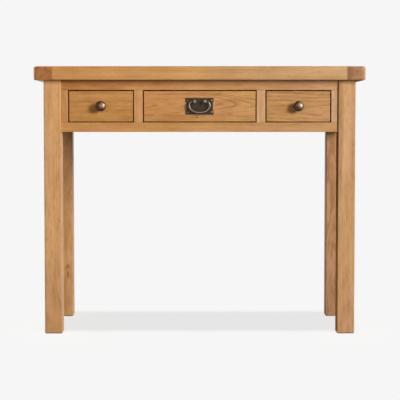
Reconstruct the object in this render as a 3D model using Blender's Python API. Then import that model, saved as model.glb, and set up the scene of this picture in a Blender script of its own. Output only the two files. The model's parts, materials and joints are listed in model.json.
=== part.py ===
"""Oak dressing table: a thick top on square legs, three inset drawers, two knobs and a bail pull.

Lengths are in metres and +Z is up. X runs along the width, the drawers open towards -Y, and the
origin lies on the floor under the middle of the top.
"""

import math

import bmesh
import bpy
from mathutils import Matrix

# Whole table
TOP_WIDTH = 0.960
TOP_DEPTH = 0.450
TABLE_HEIGHT = 0.780

# Clearances
FIT = 0.0003
DRAWER_SIDE_GAP = 0.0030
DRAWER_FOOT_GAP = 0.0025
DRAWER_RUN_GAP = 0.0008
DRAWER_BACK_ROOM = 0.008
DRAWER_INSET = 0.0005
BAIL_PLAY = 0.0004

# Top
TOP_THICKNESS = 0.040
TOP_CORNER_RADIUS = 0.013
TOP_UPPER_RADIUS = 0.007
TOP_LOWER_RADIUS = 0.003
END_PIECE_WIDTH = 0.054
EDGE_PIECE_WIDTH = 0.060
PANEL_THICKNESS = 0.022
TONGUE_THICKNESS = 0.008
TONGUE_LENGTH = 0.010
TONGUE_STOP = 0.015

# Legs
LEG_SIZE = 0.051
LEG_ARRIS = 0.0035
FOOT_CHAMFER = 0.003
SIDE_OVERHANG = 0.027
FRONT_OVERHANG = 0.022

# Rails, aprons and uprights of the frame
RAIL_SETBACK = 0.005
RAIL_DEPTH = 0.045
TOP_RAIL_HEIGHT = 0.0285
BOTTOM_RAIL_HEIGHT = 0.0275
APRON_THICKNESS = 0.020
UPRIGHT_DEPTH = 0.024
STILE_WIDTH = 0.0195
MUNTIN_WIDTH = 0.0255
OPENING_HEIGHT = 0.094
MIDDLE_OPENING_WIDTH = 0.331
EDGE_EASE = 0.0008

# Tenons
TENON_ROOT = 0.004
TENON_SHOULDER = 0.005
RAIL_TENON_LENGTH = 0.020
RAIL_TENON_THICKNESS = 0.015
APRON_TENON_LENGTH = 0.020
APRON_TENON_THICKNESS = 0.008
APRON_TENON_SHOULDER = 0.020
STUB_TENON_LENGTH = 0.008
STUB_TENON_THICKNESS = 0.008
UPRIGHT_SHOULDER = 0.004

# Runners, kickers and stops
RUNNER_HEIGHT = 0.014
RUNNER_SPARE = 0.002
GUIDE_HEIGHT = 0.018
KICKER_HEIGHT = 0.014
STOP_WIDTH = 0.040
STOP_DEPTH = 0.012
STOP_CLEARANCE = 0.004

# Drawer boxes
DRAWER_FRONT_THICKNESS = 0.020
DRAWER_FRONT_ARRIS = 0.002
DRAWER_SIDE_THICKNESS = 0.012
DRAWER_BACK_THICKNESS = 0.012
DRAWER_BACK_DROP = 0.004
DRAWER_BOTTOM_THICKNESS = 0.006
DRAWER_BOTTOM_RISE = 0.010
GROOVE_DEPTH = 0.006
FRONT_GROOVE_DEPTH = 0.008
TAIL_COUNT = 3
TAIL_LENGTH = 0.014
TAIL_SHARE = 0.60
TAIL_SLOPE = 1 / 7

# Round knobs and their screws
KNOB_RADIUS = 0.0150
KNOB_NECK_RADIUS = 0.0055
KNOB_FOOT_RADIUS = 0.0075
KNOB_FOOT_THICKNESS = 0.002
KNOB_NECK_END = 0.008
KNOB_RIM = 0.0150
KNOB_DOME = 0.0090
KNOB_BORE_DEPTH = 0.012
SCREW_RADIUS = 0.002
SCREW_HEAD_RADIUS = 0.004
SCREW_HEAD_HEIGHT = 0.0024
SCREW_END_ROOM = 0.001

# Bail pull
PLATE_WIDTH = 0.082
PLATE_HEIGHT = 0.049
PLATE_THICKNESS = 0.0016
PLATE_EAR_HEIGHT = 0.012
PLATE_EAR_DEPTH = 0.0027
PLATE_ARRIS = 0.0005
PIN_INSET_X = 0.0062
PIN_INSET_Z = 0.0075
PIN_HEAD_RADIUS = 0.0026
PIN_HEAD_HEIGHT = 0.0018
PIN_RADIUS = 0.0008
PIN_DEPTH = 0.011
POST_SPACING = 0.030
POST_RISE = 0.0138
POST_STANDOFF = 0.0088
BALL_RADIUS = 0.0058
POST_NECK_RADIUS = 0.0032
POST_COLLAR_RADIUS = 0.0046
POST_COLLAR_THICKNESS = 0.0012
POST_SHANK_RADIUS = 0.002
NUT_ACROSS_CORNERS = 0.0081
NUT_THICKNESS = 0.0032
BAIL_PIN_RADIUS = 0.0015
BAIL_END_RADIUS = 0.0018
BAIL_MIDDLE_RADIUS = 0.0023
BAIL_HALF_WIDTH = 0.0302
BAIL_SHOULDER_DROP = 0.012
BAIL_DROP = 0.0318
BAIL_SHOULDER_ROOM = 0.0007

# Roundness of turned and rounded shapes
KNOB_STEPS = 24
SHANK_STEPS = 12
BALL_STEPS = 16
CURVE_STEPS = 6
CUT_PAST = 0.002

# Places that follow from the sizes above
LEG_HEIGHT = TABLE_HEIGHT - TOP_THICKNESS
LEG_X = TOP_WIDTH / 2 - SIDE_OVERHANG - LEG_SIZE / 2
LEG_Y = TOP_DEPTH / 2 - FRONT_OVERHANG - LEG_SIZE / 2
LEG_INNER_X = LEG_X - LEG_SIZE / 2
LEG_INNER_Y = LEG_Y - LEG_SIZE / 2
LEG_OUTER_X = LEG_X + LEG_SIZE / 2
LEG_OUTER_Y = LEG_Y + LEG_SIZE / 2
FRAME_TOP = LEG_HEIGHT - FIT
OPENING_TOP = LEG_HEIGHT - TOP_RAIL_HEIGHT
OPENING_BOTTOM = OPENING_TOP - OPENING_HEIGHT
FRAME_BOTTOM = OPENING_BOTTOM - BOTTOM_RAIL_HEIGHT
FRAME_FRONT = -(LEG_OUTER_Y - RAIL_SETBACK)
RAIL_BACK = FRAME_FRONT + RAIL_DEPTH
REAR_APRON_OUTER = LEG_OUTER_Y - RAIL_SETBACK
REAR_APRON_INNER = REAR_APRON_OUTER - APRON_THICKNESS
SIDE_APRON_OUTER = LEG_OUTER_X - RAIL_SETBACK
SIDE_APRON_INNER = SIDE_APRON_OUTER - APRON_THICKNESS
STILE_EDGE = LEG_INNER_X - STILE_WIDTH
MUNTIN_X = MIDDLE_OPENING_WIDTH / 2 + MUNTIN_WIDTH / 2
SIDE_OPENING_INNER = MIDDLE_OPENING_WIDTH / 2 + MUNTIN_WIDTH
SIDE_OPENING_WIDTH = STILE_EDGE - SIDE_OPENING_INNER
SIDE_DRAWER_X = (STILE_EDGE + SIDE_OPENING_INNER) / 2
DRAWER_FACE_Y = FRAME_FRONT + DRAWER_INSET
DRAWER_LENGTH = REAR_APRON_INNER - DRAWER_BACK_ROOM - DRAWER_FACE_Y
DRAWER_TOP = OPENING_HEIGHT - DRAWER_SIDE_GAP
JOINT_X = TOP_WIDTH / 2 - END_PIECE_WIDTH
JOINT_Y = TOP_DEPTH / 2 - EDGE_PIECE_WIDTH
HANDLE_Z = OPENING_HEIGHT / 2
PLATE_FACE = -FIT - PLATE_THICKNESS
BALL_Y = PLATE_FACE - POST_STANDOFF
BALL_Z = HANDLE_Z + POST_RISE
BAIL_SHOULDER_X = POST_SPACING / 2 + BALL_RADIUS + BAIL_SHOULDER_ROOM

# Colours, from the oak and the dark bronze of the real table
OAK_FRAME = (0.56, 0.29, 0.115)
OAK_LEG = (0.59, 0.32, 0.140)
OAK_DRAWER = (0.51, 0.25, 0.090)
OAK_TOP = (0.57, 0.29, 0.110)
OAK_END_LEFT = (0.37, 0.155, 0.052)
OAK_END_RIGHT = (0.41, 0.205, 0.100)
OAK_INSIDE = (0.60, 0.40, 0.220)
DARK_BRONZE = (0.060, 0.042, 0.028)
WORN_BRONZE = (0.26, 0.19, 0.145)
STEEL = (0.55, 0.55, 0.56)


def clear_scene():
    """Remove every object that the opened file holds."""
    for old in list(bpy.data.objects):
        bpy.data.objects.remove(old, do_unlink=True)


def finish(name, colour, roughness, metallic):
    """A material of one colour for one piece."""
    material = bpy.data.materials.new(name + "_finish")
    material.use_nodes = True
    shader = material.node_tree.nodes["Principled BSDF"]
    shader.inputs["Base Color"].default_value = (*colour, 1.0)
    shader.inputs["Roughness"].default_value = roughness
    shader.inputs["Metallic"].default_value = metallic
    return material


def wood(name, colour):
    """Satin oiled oak."""
    return finish(name, colour, 0.45, 0.0)


def metal(name, colour):
    """Aged bronze or plain steel."""
    return finish(name, colour, 0.38, 0.9)


def around(middle, size):
    """The range of a given size about a middle."""
    return (middle - size / 2, middle + size / 2)


def box(x, y, z):
    """A box as three ranges, each put in rising order."""
    return tuple(tuple(sorted(span)) for span in (x, y, z))


def grown(shape, by=FIT):
    """The box made larger on every side, as a mortise is round its tenon."""
    return tuple((low - by, high + by) for low, high in shape)


def add_box(bm, shape):
    """Put a box into the mesh."""
    middle = [(low + high) / 2 for low, high in shape]
    size = [high - low for low, high in shape]
    matrix = Matrix.Translation(middle) @ Matrix.Diagonal((*size, 1.0))
    bmesh.ops.create_cube(bm, size=1.0, matrix=matrix)


def box_mesh(*shapes):
    """A mesh of boxes that lie clear of each other."""
    bm = bmesh.new()
    for shape in shapes:
        add_box(bm, shape)
    return bm


def add_prism(bm, outline, push):
    """Put in the solid that a flat outline sweeps when it is pushed along a vector."""
    face = bm.faces.new([bm.verts.new(point) for point in outline])
    grown_faces = bmesh.ops.extrude_face_region(bm, geom=[face])["geom"]
    moved = [item for item in grown_faces if isinstance(item, bmesh.types.BMVert)]
    bmesh.ops.translate(bm, verts=moved, vec=push)
    bmesh.ops.recalc_face_normals(bm, faces=bm.faces)


def add_rod(bm, radius, start, end, axis, steps=SHANK_STEPS):
    """Put in a round rod between two points that differ only along one axis, x or y."""
    middle = [(low + high) / 2 for low, high in zip(start, end)]
    depth = sum(abs(high - low) for low, high in zip(start, end))
    turn = Matrix.Rotation(math.pi / 2, 4, "Y" if axis == "x" else "X")
    matrix = Matrix.Translation(middle) @ turn
    bmesh.ops.create_cone(bm, cap_ends=True, segments=steps, radius1=radius, radius2=radius,
                          depth=depth, matrix=matrix)


def turned(profile, steps, x, z):
    """The solid that a profile of (radius, y) points makes when it turns about a Y axis."""
    bm = bmesh.new()
    verts = [bm.verts.new((radius, along, 0.0)) for radius, along in profile]
    edges = [bm.edges.new(pair) for pair in zip(verts, verts[1:])]
    bmesh.ops.spin(bm, geom=verts + edges, axis=(0, 1, 0), cent=(0, 0, 0),
                   angle=2 * math.pi, steps=steps, use_merge=True)
    bmesh.ops.remove_doubles(bm, verts=bm.verts, dist=0.00001)
    bmesh.ops.recalc_face_normals(bm, faces=bm.faces)
    bmesh.ops.translate(bm, verts=bm.verts, vec=(x, 0.0, z))
    return bm


def edges_along(bm, axis):
    """The edges that run along one axis, 0 for X, 1 for Y and 2 for Z."""
    def runs(edge):
        way = edge.verts[1].co - edge.verts[0].co
        return abs(way[axis]) > 0.999 * way.length
    return [edge for edge in bm.edges if runs(edge)]


def face_edges(bm, axis, sign):
    """The edges of the faces that look one way along an axis."""
    chosen = {edge for face in bm.faces if face.normal[axis] * sign > 0.999 for edge in face.edges}
    return [edge for edge in bm.edges if edge in chosen]


def round_edges(bm, edges, radius, segments):
    """Round the given edges."""
    bmesh.ops.bevel(bm, geom=edges, offset=radius, segments=segments, profile=0.5,
                    affect="EDGES", material=-1)


def keep_behind(bm, point, normal):
    """Cut the mesh at a plane, drop what lies past it and close the cut."""
    geometry = bm.verts[:] + bm.edges[:] + bm.faces[:]
    bmesh.ops.bisect_plane(bm, geom=geometry, plane_co=point, plane_no=normal, clear_outer=True)
    bmesh.ops.holes_fill(bm, edges=[edge for edge in bm.edges if edge.is_boundary])


def place(name, bm, material, origin=(0.0, 0.0, 0.0), parent=None, smooth=False):
    """Make an object of the mesh, with its own origin moved to a point that suits the piece."""
    bmesh.ops.recalc_face_normals(bm, faces=bm.faces)
    bmesh.ops.translate(bm, verts=bm.verts, vec=[-value for value in origin])
    mesh = bpy.data.meshes.new(name)
    bm.to_mesh(mesh)
    bm.free()
    mesh.materials.append(material)
    if smooth:
        mesh.shade_smooth()
        mesh.set_sharp_from_angle(angle=math.radians(40))
    piece = bpy.data.objects.new(name, mesh)
    piece.location = origin
    piece.parent = parent
    bpy.context.scene.collection.objects.link(piece)
    return piece


def combine(piece, bm, operation):
    """Cut the mesh from the piece, or join it, with a hidden helper in the piece's parent frame."""
    bmesh.ops.recalc_face_normals(bm, faces=bm.faces)
    name = f"{piece.name}_{operation.lower()}_{len(piece.modifiers)}"
    mesh = bpy.data.meshes.new(name)
    bm.to_mesh(mesh)
    bm.free()
    helper = bpy.data.objects.new(name, mesh)
    helper.parent = piece.parent
    helper.hide_render = True
    helper.display_type = "WIRE"
    bpy.context.scene.collection.objects.link(helper)
    modifier = piece.modifiers.new(name, "BOOLEAN")
    modifier.operation = operation
    modifier.solver = "EXACT"
    modifier.object = helper


def cut(piece, bm):
    """Take the mesh out of the piece."""
    combine(piece, bm, "DIFFERENCE")


def join(piece, bm):
    """Make the mesh one with the piece."""
    combine(piece, bm, "UNION")


def rail_tenon(side, bottom, top):
    """The tenon of a front rail in a front leg."""
    x = (side * (LEG_INNER_X - TENON_ROOT), side * (LEG_INNER_X + RAIL_TENON_LENGTH))
    y = around((FRAME_FRONT + RAIL_BACK) / 2, RAIL_TENON_THICKNESS)
    return box(x, y, (bottom + TENON_SHOULDER, top - TENON_SHOULDER))


def apron_tenon_height():
    """The height range that every apron tenon has."""
    return (FRAME_BOTTOM + APRON_TENON_SHOULDER, FRAME_TOP - APRON_TENON_SHOULDER)


def rear_apron_tenon(side):
    """The tenon of the rear apron in a rear leg."""
    x = (side * (LEG_INNER_X - TENON_ROOT), side * (LEG_INNER_X + APRON_TENON_LENGTH))
    y = around((REAR_APRON_OUTER + REAR_APRON_INNER) / 2, APRON_TENON_THICKNESS)
    return box(x, y, apron_tenon_height())


def side_apron_tenon(side, end):
    """The tenon of a side apron in a front or rear leg."""
    x = around(side * (SIDE_APRON_OUTER + SIDE_APRON_INNER) / 2, APRON_TENON_THICKNESS)
    y = (end * (LEG_INNER_Y - TENON_ROOT), end * (LEG_INNER_Y + APRON_TENON_LENGTH))
    return box(x, y, apron_tenon_height())


def uprights():
    """Name, left and right edge of each upright between the two front rails."""
    return (
        ("front_stile_left", FIT - LEG_INNER_X, -STILE_EDGE),
        ("muntin_left", *around(-MUNTIN_X, MUNTIN_WIDTH)),
        ("muntin_right", *around(MUNTIN_X, MUNTIN_WIDTH)),
        ("front_stile_right", STILE_EDGE, LEG_INNER_X - FIT),
    )


def upright_tenon(left, right, at_top):
    """The stub tenon of an upright in the top or the bottom rail."""
    x = (left + UPRIGHT_SHOULDER, right - UPRIGHT_SHOULDER)
    y = around(FRAME_FRONT + UPRIGHT_DEPTH / 2, STUB_TENON_THICKNESS)
    z = (OPENING_TOP - TENON_ROOT, OPENING_TOP + STUB_TENON_LENGTH)
    if not at_top:
        z = (OPENING_BOTTOM - STUB_TENON_LENGTH, OPENING_BOTTOM + TENON_ROOT)
    return box(x, y, z)


def bearer_places():
    """Name, base range and guide range in X of the bearers below and above the drawer sides."""
    reach = DRAWER_SIDE_GAP + DRAWER_SIDE_THICKNESS + RUNNER_SPARE
    guide_reach = DRAWER_SIDE_GAP - DRAWER_RUN_GAP
    outer = LEG_INNER_X - FIT
    places = []
    for word, side in (("left", -1), ("right", 1)):
        base = sorted((side * (STILE_EDGE - reach), side * outer))
        guide = sorted((side * (STILE_EDGE - guide_reach), side * outer))
        places.append((word + "_end", base, guide))
        base = around(side * MUNTIN_X, MUNTIN_WIDTH + 2 * reach)
        guide = around(side * MUNTIN_X, MUNTIN_WIDTH + 2 * guide_reach)
        places.append((word + "_muntin", base, guide))
    return places


def bearer_tenon(base, height, at_rear):
    """The stub tenon of a runner or kicker in the front rail or in the rear apron."""
    x = (base[0] + TENON_SHOULDER, base[1] - TENON_SHOULDER)
    y = (RAIL_BACK - STUB_TENON_LENGTH, RAIL_BACK + TENON_ROOT)
    if at_rear:
        y = (REAR_APRON_INNER - TENON_ROOT, REAR_APRON_INNER + STUB_TENON_LENGTH)
    return box(x, y, around(height, STUB_TENON_THICKNESS))


def runner_middle():
    """The height of the runner tenons' middle."""
    return OPENING_BOTTOM - RUNNER_HEIGHT / 2


def kicker_middle():
    """The height of the kicker tenons' middle."""
    return OPENING_TOP + KICKER_HEIGHT / 2


def make_legs():
    """Four square legs with eased arrises, chamfered feet and mortises for what they carry."""
    for depth_word, end in (("front", -1), ("rear", 1)):
        for side_word, side in (("left", -1), ("right", 1)):
            x = side * LEG_X
            y = end * LEG_Y
            bm = box_mesh(box(around(x, LEG_SIZE), around(y, LEG_SIZE), (0.0, FRAME_TOP)))
            round_edges(bm, edges_along(bm, 2), LEG_ARRIS, 3)
            bm.normal_update()
            round_edges(bm, face_edges(bm, 2, -1), FOOT_CHAMFER, 1)
            name = f"leg_{depth_word}_{side_word}"
            leg = place(name, bm, wood(name, OAK_LEG), origin=(x, y, 0.0))
            tenons = [side_apron_tenon(side, end)]
            if end < 0:
                tenons.append(rail_tenon(side, OPENING_TOP, FRAME_TOP))
                tenons.append(rail_tenon(side, FRAME_BOTTOM, OPENING_BOTTOM))
            else:
                tenons.append(rear_apron_tenon(side))
            cut(leg, box_mesh(*[grown(tenon) for tenon in tenons]))


def make_side_aprons():
    """Aprons that join each front leg to the rear leg behind it."""
    for word, side in (("left", -1), ("right", 1)):
        x = (side * SIDE_APRON_INNER, side * SIDE_APRON_OUTER)
        y = (FIT - LEG_INNER_Y, LEG_INNER_Y - FIT)
        bm = box_mesh(box(x, y, (FRAME_BOTTOM, FRAME_TOP)))
        round_edges(bm, edges_along(bm, 1), EDGE_EASE, 2)
        name = "side_apron_" + word
        apron = place(name, bm, wood(name, OAK_FRAME), origin=(side * SIDE_APRON_OUTER, 0.0, FRAME_BOTTOM))
        join(apron, box_mesh(side_apron_tenon(side, -1), side_apron_tenon(side, 1)))


def make_rear_apron():
    """The apron between the rear legs, which also holds the rear ends of runners and kickers."""
    x = (FIT - LEG_INNER_X, LEG_INNER_X - FIT)
    bm = box_mesh(box(x, (REAR_APRON_INNER, REAR_APRON_OUTER), (FRAME_BOTTOM, FRAME_TOP)))
    round_edges(bm, edges_along(bm, 0), EDGE_EASE, 2)
    name = "rear_apron"
    apron = place(name, bm, wood(name, OAK_FRAME), origin=(0.0, REAR_APRON_OUTER, FRAME_BOTTOM))
    join(apron, box_mesh(rear_apron_tenon(-1), rear_apron_tenon(1)))
    mortises = []
    for _, base, _ in bearer_places():
        mortises.append(grown(bearer_tenon(base, runner_middle(), True)))
        mortises.append(grown(bearer_tenon(base, kicker_middle(), True)))
    cut(apron, box_mesh(*mortises))


def make_front_rail(name, bottom, top, bearer_height, at_top):
    """A front rail with its tenons, and mortises for the uprights and the bearers behind it."""
    x = (FIT - LEG_INNER_X, LEG_INNER_X - FIT)
    bm = box_mesh(box(x, (FRAME_FRONT, RAIL_BACK), (bottom, top)))
    round_edges(bm, edges_along(bm, 0), EDGE_EASE, 2)
    rail = place(name, bm, wood(name, OAK_FRAME), origin=(0.0, FRAME_FRONT, bottom))
    join(rail, box_mesh(rail_tenon(-1, bottom, top), rail_tenon(1, bottom, top)))
    mortises = [grown(upright_tenon(left, right, at_top)) for _, left, right in uprights()]
    for _, base, _ in bearer_places():
        mortises.append(grown(bearer_tenon(base, bearer_height, False)))
    cut(rail, box_mesh(*mortises))


def make_uprights():
    """The two end stiles and the two muntins that part the drawers."""
    for name, left, right in uprights():
        y = (FRAME_FRONT, FRAME_FRONT + UPRIGHT_DEPTH)
        bm = box_mesh(box((left, right), y, (OPENING_BOTTOM + FIT, OPENING_TOP - FIT)))
        round_edges(bm, edges_along(bm, 2), EDGE_EASE, 2)
        middle = ((left + right) / 2, FRAME_FRONT, OPENING_BOTTOM)
        upright = place(name, bm, wood(name, OAK_FRAME), origin=middle)
        join(upright, box_mesh(upright_tenon(left, right, False), upright_tenon(left, right, True)))


def runner_outline(base, guide):
    """Section of a runner: a flat base that carries the drawer sides, and a guide that stands on it."""
    low = OPENING_BOTTOM - RUNNER_HEIGHT
    high = OPENING_BOTTOM + GUIDE_HEIGHT
    points = [(base[0], low), (base[1], low), (base[1], OPENING_BOTTOM), (guide[1], OPENING_BOTTOM),
              (guide[1], high), (guide[0], high), (guide[0], OPENING_BOTTOM), (base[0], OPENING_BOTTOM)]
    outline = []
    for point in points:
        if point not in outline:
            outline.append(point)
    return outline


def make_runners():
    """Runners with a guide, from the bottom rail to the rear apron."""
    start = RAIL_BACK + FIT
    length = REAR_APRON_INNER - FIT - start
    for word, base, guide in bearer_places():
        bm = bmesh.new()
        outline = [(x, start, z) for x, z in runner_outline(base, guide)]
        add_prism(bm, outline, (0.0, length, 0.0))
        name = "runner_" + word
        middle = (sum(base) / 2, start, OPENING_BOTTOM)
        runner = place(name, bm, wood(name, OAK_INSIDE), origin=middle)
        tenons = [bearer_tenon(base, runner_middle(), at_rear) for at_rear in (False, True)]
        join(runner, box_mesh(*tenons))


def make_kickers():
    """Kickers above the drawer sides, which keep a pulled drawer from tipping."""
    for word, base, _ in bearer_places():
        y = (RAIL_BACK + FIT, REAR_APRON_INNER - FIT)
        bm = box_mesh(box(base, y, (OPENING_TOP, OPENING_TOP + KICKER_HEIGHT)))
        name = "kicker_" + word
        middle = (sum(base) / 2, RAIL_BACK, OPENING_TOP)
        kicker = place(name, bm, wood(name, OAK_INSIDE), origin=middle)
        tenons = [bearer_tenon(base, kicker_middle(), at_rear) for at_rear in (False, True)]
        join(kicker, box_mesh(*tenons))


def make_stop(name, x):
    """A small block on the bottom rail that a closed drawer's front comes to rest on."""
    back_of_front = DRAWER_FACE_Y + DRAWER_FRONT_THICKNESS
    y = (back_of_front + FIT, back_of_front + FIT + STOP_DEPTH)
    z = (OPENING_BOTTOM + FIT, OPENING_BOTTOM + DRAWER_BOTTOM_RISE - STOP_CLEARANCE)
    bm = box_mesh(box(around(x, STOP_WIDTH), y, z))
    place(name, bm, wood(name, OAK_INSIDE), origin=(x, back_of_front, OPENING_BOTTOM))


def top_slab():
    """The outline of the whole top, rounded in plan and along its edges, with z from its underside."""
    bm = box_mesh(box(around(0.0, TOP_WIDTH), around(0.0, TOP_DEPTH), (0.0, TOP_THICKNESS)))
    round_edges(bm, edges_along(bm, 2), TOP_CORNER_RADIUS, 5)
    bm.normal_update()
    round_edges(bm, face_edges(bm, 2, 1), TOP_UPPER_RADIUS, 4)
    bm.normal_update()
    round_edges(bm, face_edges(bm, 2, -1), TOP_LOWER_RADIUS, 3)
    bmesh.ops.translate(bm, verts=bm.verts, vec=(0.0, 0.0, LEG_HEIGHT))
    return bm


def tongue_height():
    """The height range of the tongues that hold the top together."""
    return around(TABLE_HEIGHT - PANEL_THICKNESS / 2, TONGUE_THICKNESS)


def edge_tongue(side, end):
    """The tongue of a front or rear edge piece in an end piece."""
    x = (side * (JOINT_X - TENON_ROOT), side * (JOINT_X + TONGUE_LENGTH))
    inner = JOINT_Y + TONGUE_LENGTH + TENON_ROOT
    return box(x, (end * inner, end * (TOP_DEPTH / 2 - TONGUE_STOP)), tongue_height())


def make_top_ends():
    """End pieces that run from front to back, grooved along their inner side."""
    for word, side, colour in (("left", -1, OAK_END_LEFT), ("right", 1, OAK_END_RIGHT)):
        bm = top_slab()
        keep_behind(bm, (side * JOINT_X, 0.0, 0.0), (-side, 0.0, 0.0))
        name = f"top_{word}_end"
        end_piece = place(name, bm, wood(name, colour), origin=(side * JOINT_X, 0.0, LEG_HEIGHT))
        x = (side * (JOINT_X - TENON_ROOT), side * (JOINT_X + TONGUE_LENGTH))
        groove = box(x, around(0.0, TOP_DEPTH - 2 * TONGUE_STOP), tongue_height())
        cut(end_piece, box_mesh(grown(groove)))


def make_top_edges():
    """Front and rear edge pieces between the end pieces, grooved for the panel."""
    for word, end in (("front", -1), ("rear", 1)):
        bm = top_slab()
        for side in (-1, 1):
            keep_behind(bm, (side * (JOINT_X - FIT), 0.0, 0.0), (side, 0.0, 0.0))
        keep_behind(bm, (0.0, end * JOINT_Y, 0.0), (0.0, -end, 0.0))
        name = f"top_{word}_edge"
        edge_piece = place(name, bm, wood(name, OAK_TOP), origin=(0.0, end * JOINT_Y, LEG_HEIGHT))
        join(edge_piece, box_mesh(edge_tongue(-1, end), edge_tongue(1, end)))
        y = (end * (JOINT_Y - TENON_ROOT), end * (JOINT_Y + TONGUE_LENGTH))
        groove = grown(box(around(0.0, 2 * JOINT_X), y, tongue_height()))
        cut(edge_piece, box_mesh(groove))


def make_top_panel():
    """The glued panel, flush with the pieces round it and held in their grooves."""
    x = around(0.0, 2 * (JOINT_X - FIT))
    y = around(0.0, 2 * (JOINT_Y - FIT))
    bm = box_mesh(box(x, y, (TABLE_HEIGHT - PANEL_THICKNESS, TABLE_HEIGHT)))
    panel = place("top_panel", bm, wood("top_panel", OAK_TOP), origin=(0.0, 0.0, TABLE_HEIGHT))
    long_x = around(0.0, 2 * (JOINT_X + TONGUE_LENGTH))
    short_x = around(0.0, 2 * (JOINT_X - TENON_ROOT))
    long_y = around(0.0, 2 * (JOINT_Y + TONGUE_LENGTH))
    short_y = around(0.0, 2 * (JOINT_Y - TENON_ROOT))
    join(panel, box_mesh(box(long_x, short_y, tongue_height())))
    join(panel, box_mesh(box(short_x, long_y, tongue_height())))


def tail_places(low, high):
    """Middles of the dovetails that share a joint's height, and their half width at the root."""
    pitch = (high - low) / TAIL_COUNT
    middles = [low + pitch * (number + 0.5) for number in range(TAIL_COUNT)]
    return middles, pitch * TAIL_SHARE / 2


def tail_outline(middle, half_root, root, tip, grow=0.0):
    """Four (y, z) corners of one tail, which widens from its root to its tip."""
    reach = abs(tip - root)
    narrow = half_root + grow
    wide = half_root + grow + reach * TAIL_SLOPE
    return [(root, middle - narrow), (tip, middle - wide), (tip, middle + wide), (root, middle + narrow)]


def drawer_heights():
    """Heights of a drawer above its runners: the front's two, then the back's two."""
    back_low = DRAWER_BOTTOM_RISE + DRAWER_BOTTOM_THICKNESS + FIT
    return DRAWER_FOOT_GAP, DRAWER_TOP, back_low, DRAWER_TOP - DRAWER_BACK_DROP


def drawer_side_outline():
    """A drawer side seen from the side, with tails at the front and at the back."""
    front_low, front_high, back_low, back_high = drawer_heights()
    shoulder = DRAWER_FRONT_THICKNESS + FIT
    rear_shoulder = DRAWER_LENGTH - DRAWER_BACK_THICKNESS - FIT
    outline = [(shoulder, FIT), (DRAWER_LENGTH, FIT), (DRAWER_LENGTH, back_low - FIT),
               (rear_shoulder, back_low - FIT)]
    middles, half_root = tail_places(back_low, back_high)
    for middle in middles:
        outline += tail_outline(middle, half_root, rear_shoulder, DRAWER_LENGTH)
    outline += [(rear_shoulder, back_high + FIT), (DRAWER_LENGTH, back_high + FIT),
                (DRAWER_LENGTH, DRAWER_TOP), (shoulder, DRAWER_TOP)]
    middles, half_root = tail_places(front_low, front_high)
    for middle in reversed(middles):
        tip = DRAWER_FRONT_THICKNESS - TAIL_LENGTH
        outline += reversed(tail_outline(middle, half_root, shoulder, tip))
    return outline


def groove_height():
    """The height range of the grooves that hold a drawer's bottom."""
    return (DRAWER_BOTTOM_RISE - FIT, DRAWER_BOTTOM_RISE + DRAWER_BOTTOM_THICKNESS + FIT)


def make_drawer_sides(name, half, carrier):
    """The two sides of a drawer."""
    for word, side in (("left", -1), ("right", 1)):
        bm = bmesh.new()
        outline = [(side * half, y, z) for y, z in drawer_side_outline()]
        add_prism(bm, outline, (-side * DRAWER_SIDE_THICKNESS, 0.0, 0.0))
        piece_name = f"{name}_side_{word}"
        origin = (side * half, DRAWER_FRONT_THICKNESS, 0.0)
        board = place(piece_name, bm, wood(piece_name, OAK_INSIDE), origin, carrier)
        inner = half - DRAWER_SIDE_THICKNESS
        x = (side * (inner - CUT_PAST), side * (inner + GROOVE_DEPTH))
        cut(board, box_mesh(box(x, (0.0, DRAWER_LENGTH + CUT_PAST), groove_height())))


def sockets(half, low, high, root, tip):
    """Cutters for the sockets that the tails of both sides fill, from past the root to the tip."""
    middles, half_root = tail_places(low, high)
    way = 1 if tip > root else -1
    start = root - way * CUT_PAST
    bm = bmesh.new()
    for side in (-1, 1):
        for middle in middles:
            outline = tail_outline(middle, half_root - CUT_PAST * TAIL_SLOPE, start, tip + way * FIT, FIT)
            corners = [(side * (half + CUT_PAST), y, z) for y, z in outline]
            depth = DRAWER_SIDE_THICKNESS + FIT + CUT_PAST
            add_prism(bm, corners, (-side * depth, 0.0, 0.0))
    return bm


def make_drawer_front(name, half, carrier, holes):
    """A drawer front with an eased face, blind dovetail sockets, a groove and bores for its handle."""
    front_low, front_high, _, _ = drawer_heights()
    bm = box_mesh(box((-half, half), (0.0, DRAWER_FRONT_THICKNESS), (front_low, front_high)))
    bm.normal_update()
    round_edges(bm, face_edges(bm, 1, -1), DRAWER_FRONT_ARRIS, 3)
    piece_name = name + "_front"
    origin = (0.0, 0.0, front_low)
    front = place(piece_name, bm, wood(piece_name, OAK_DRAWER), origin, carrier)
    tip = DRAWER_FRONT_THICKNESS - TAIL_LENGTH
    cut(front, sockets(half, front_low, front_high, DRAWER_FRONT_THICKNESS, tip))
    y = (DRAWER_FRONT_THICKNESS - FRONT_GROOVE_DEPTH, DRAWER_FRONT_THICKNESS + CUT_PAST)
    reach = half - DRAWER_SIDE_THICKNESS + GROOVE_DEPTH
    cut(front, box_mesh(box((-reach, reach), y, groove_height())))
    cut(front, holes())


def make_drawer_back(name, half, carrier):
    """A drawer back, dovetailed right through, which stands on the drawer's bottom."""
    _, _, back_low, back_high = drawer_heights()
    inner = DRAWER_LENGTH - DRAWER_BACK_THICKNESS
    bm = box_mesh(box((-half, half), (inner, DRAWER_LENGTH), (back_low, back_high)))
    piece_name = name + "_back"
    back = place(piece_name, bm, wood(piece_name, OAK_INSIDE), (0.0, inner, back_low), carrier)
    cut(back, sockets(half, back_low, back_high, inner, DRAWER_LENGTH + CUT_PAST))


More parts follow.
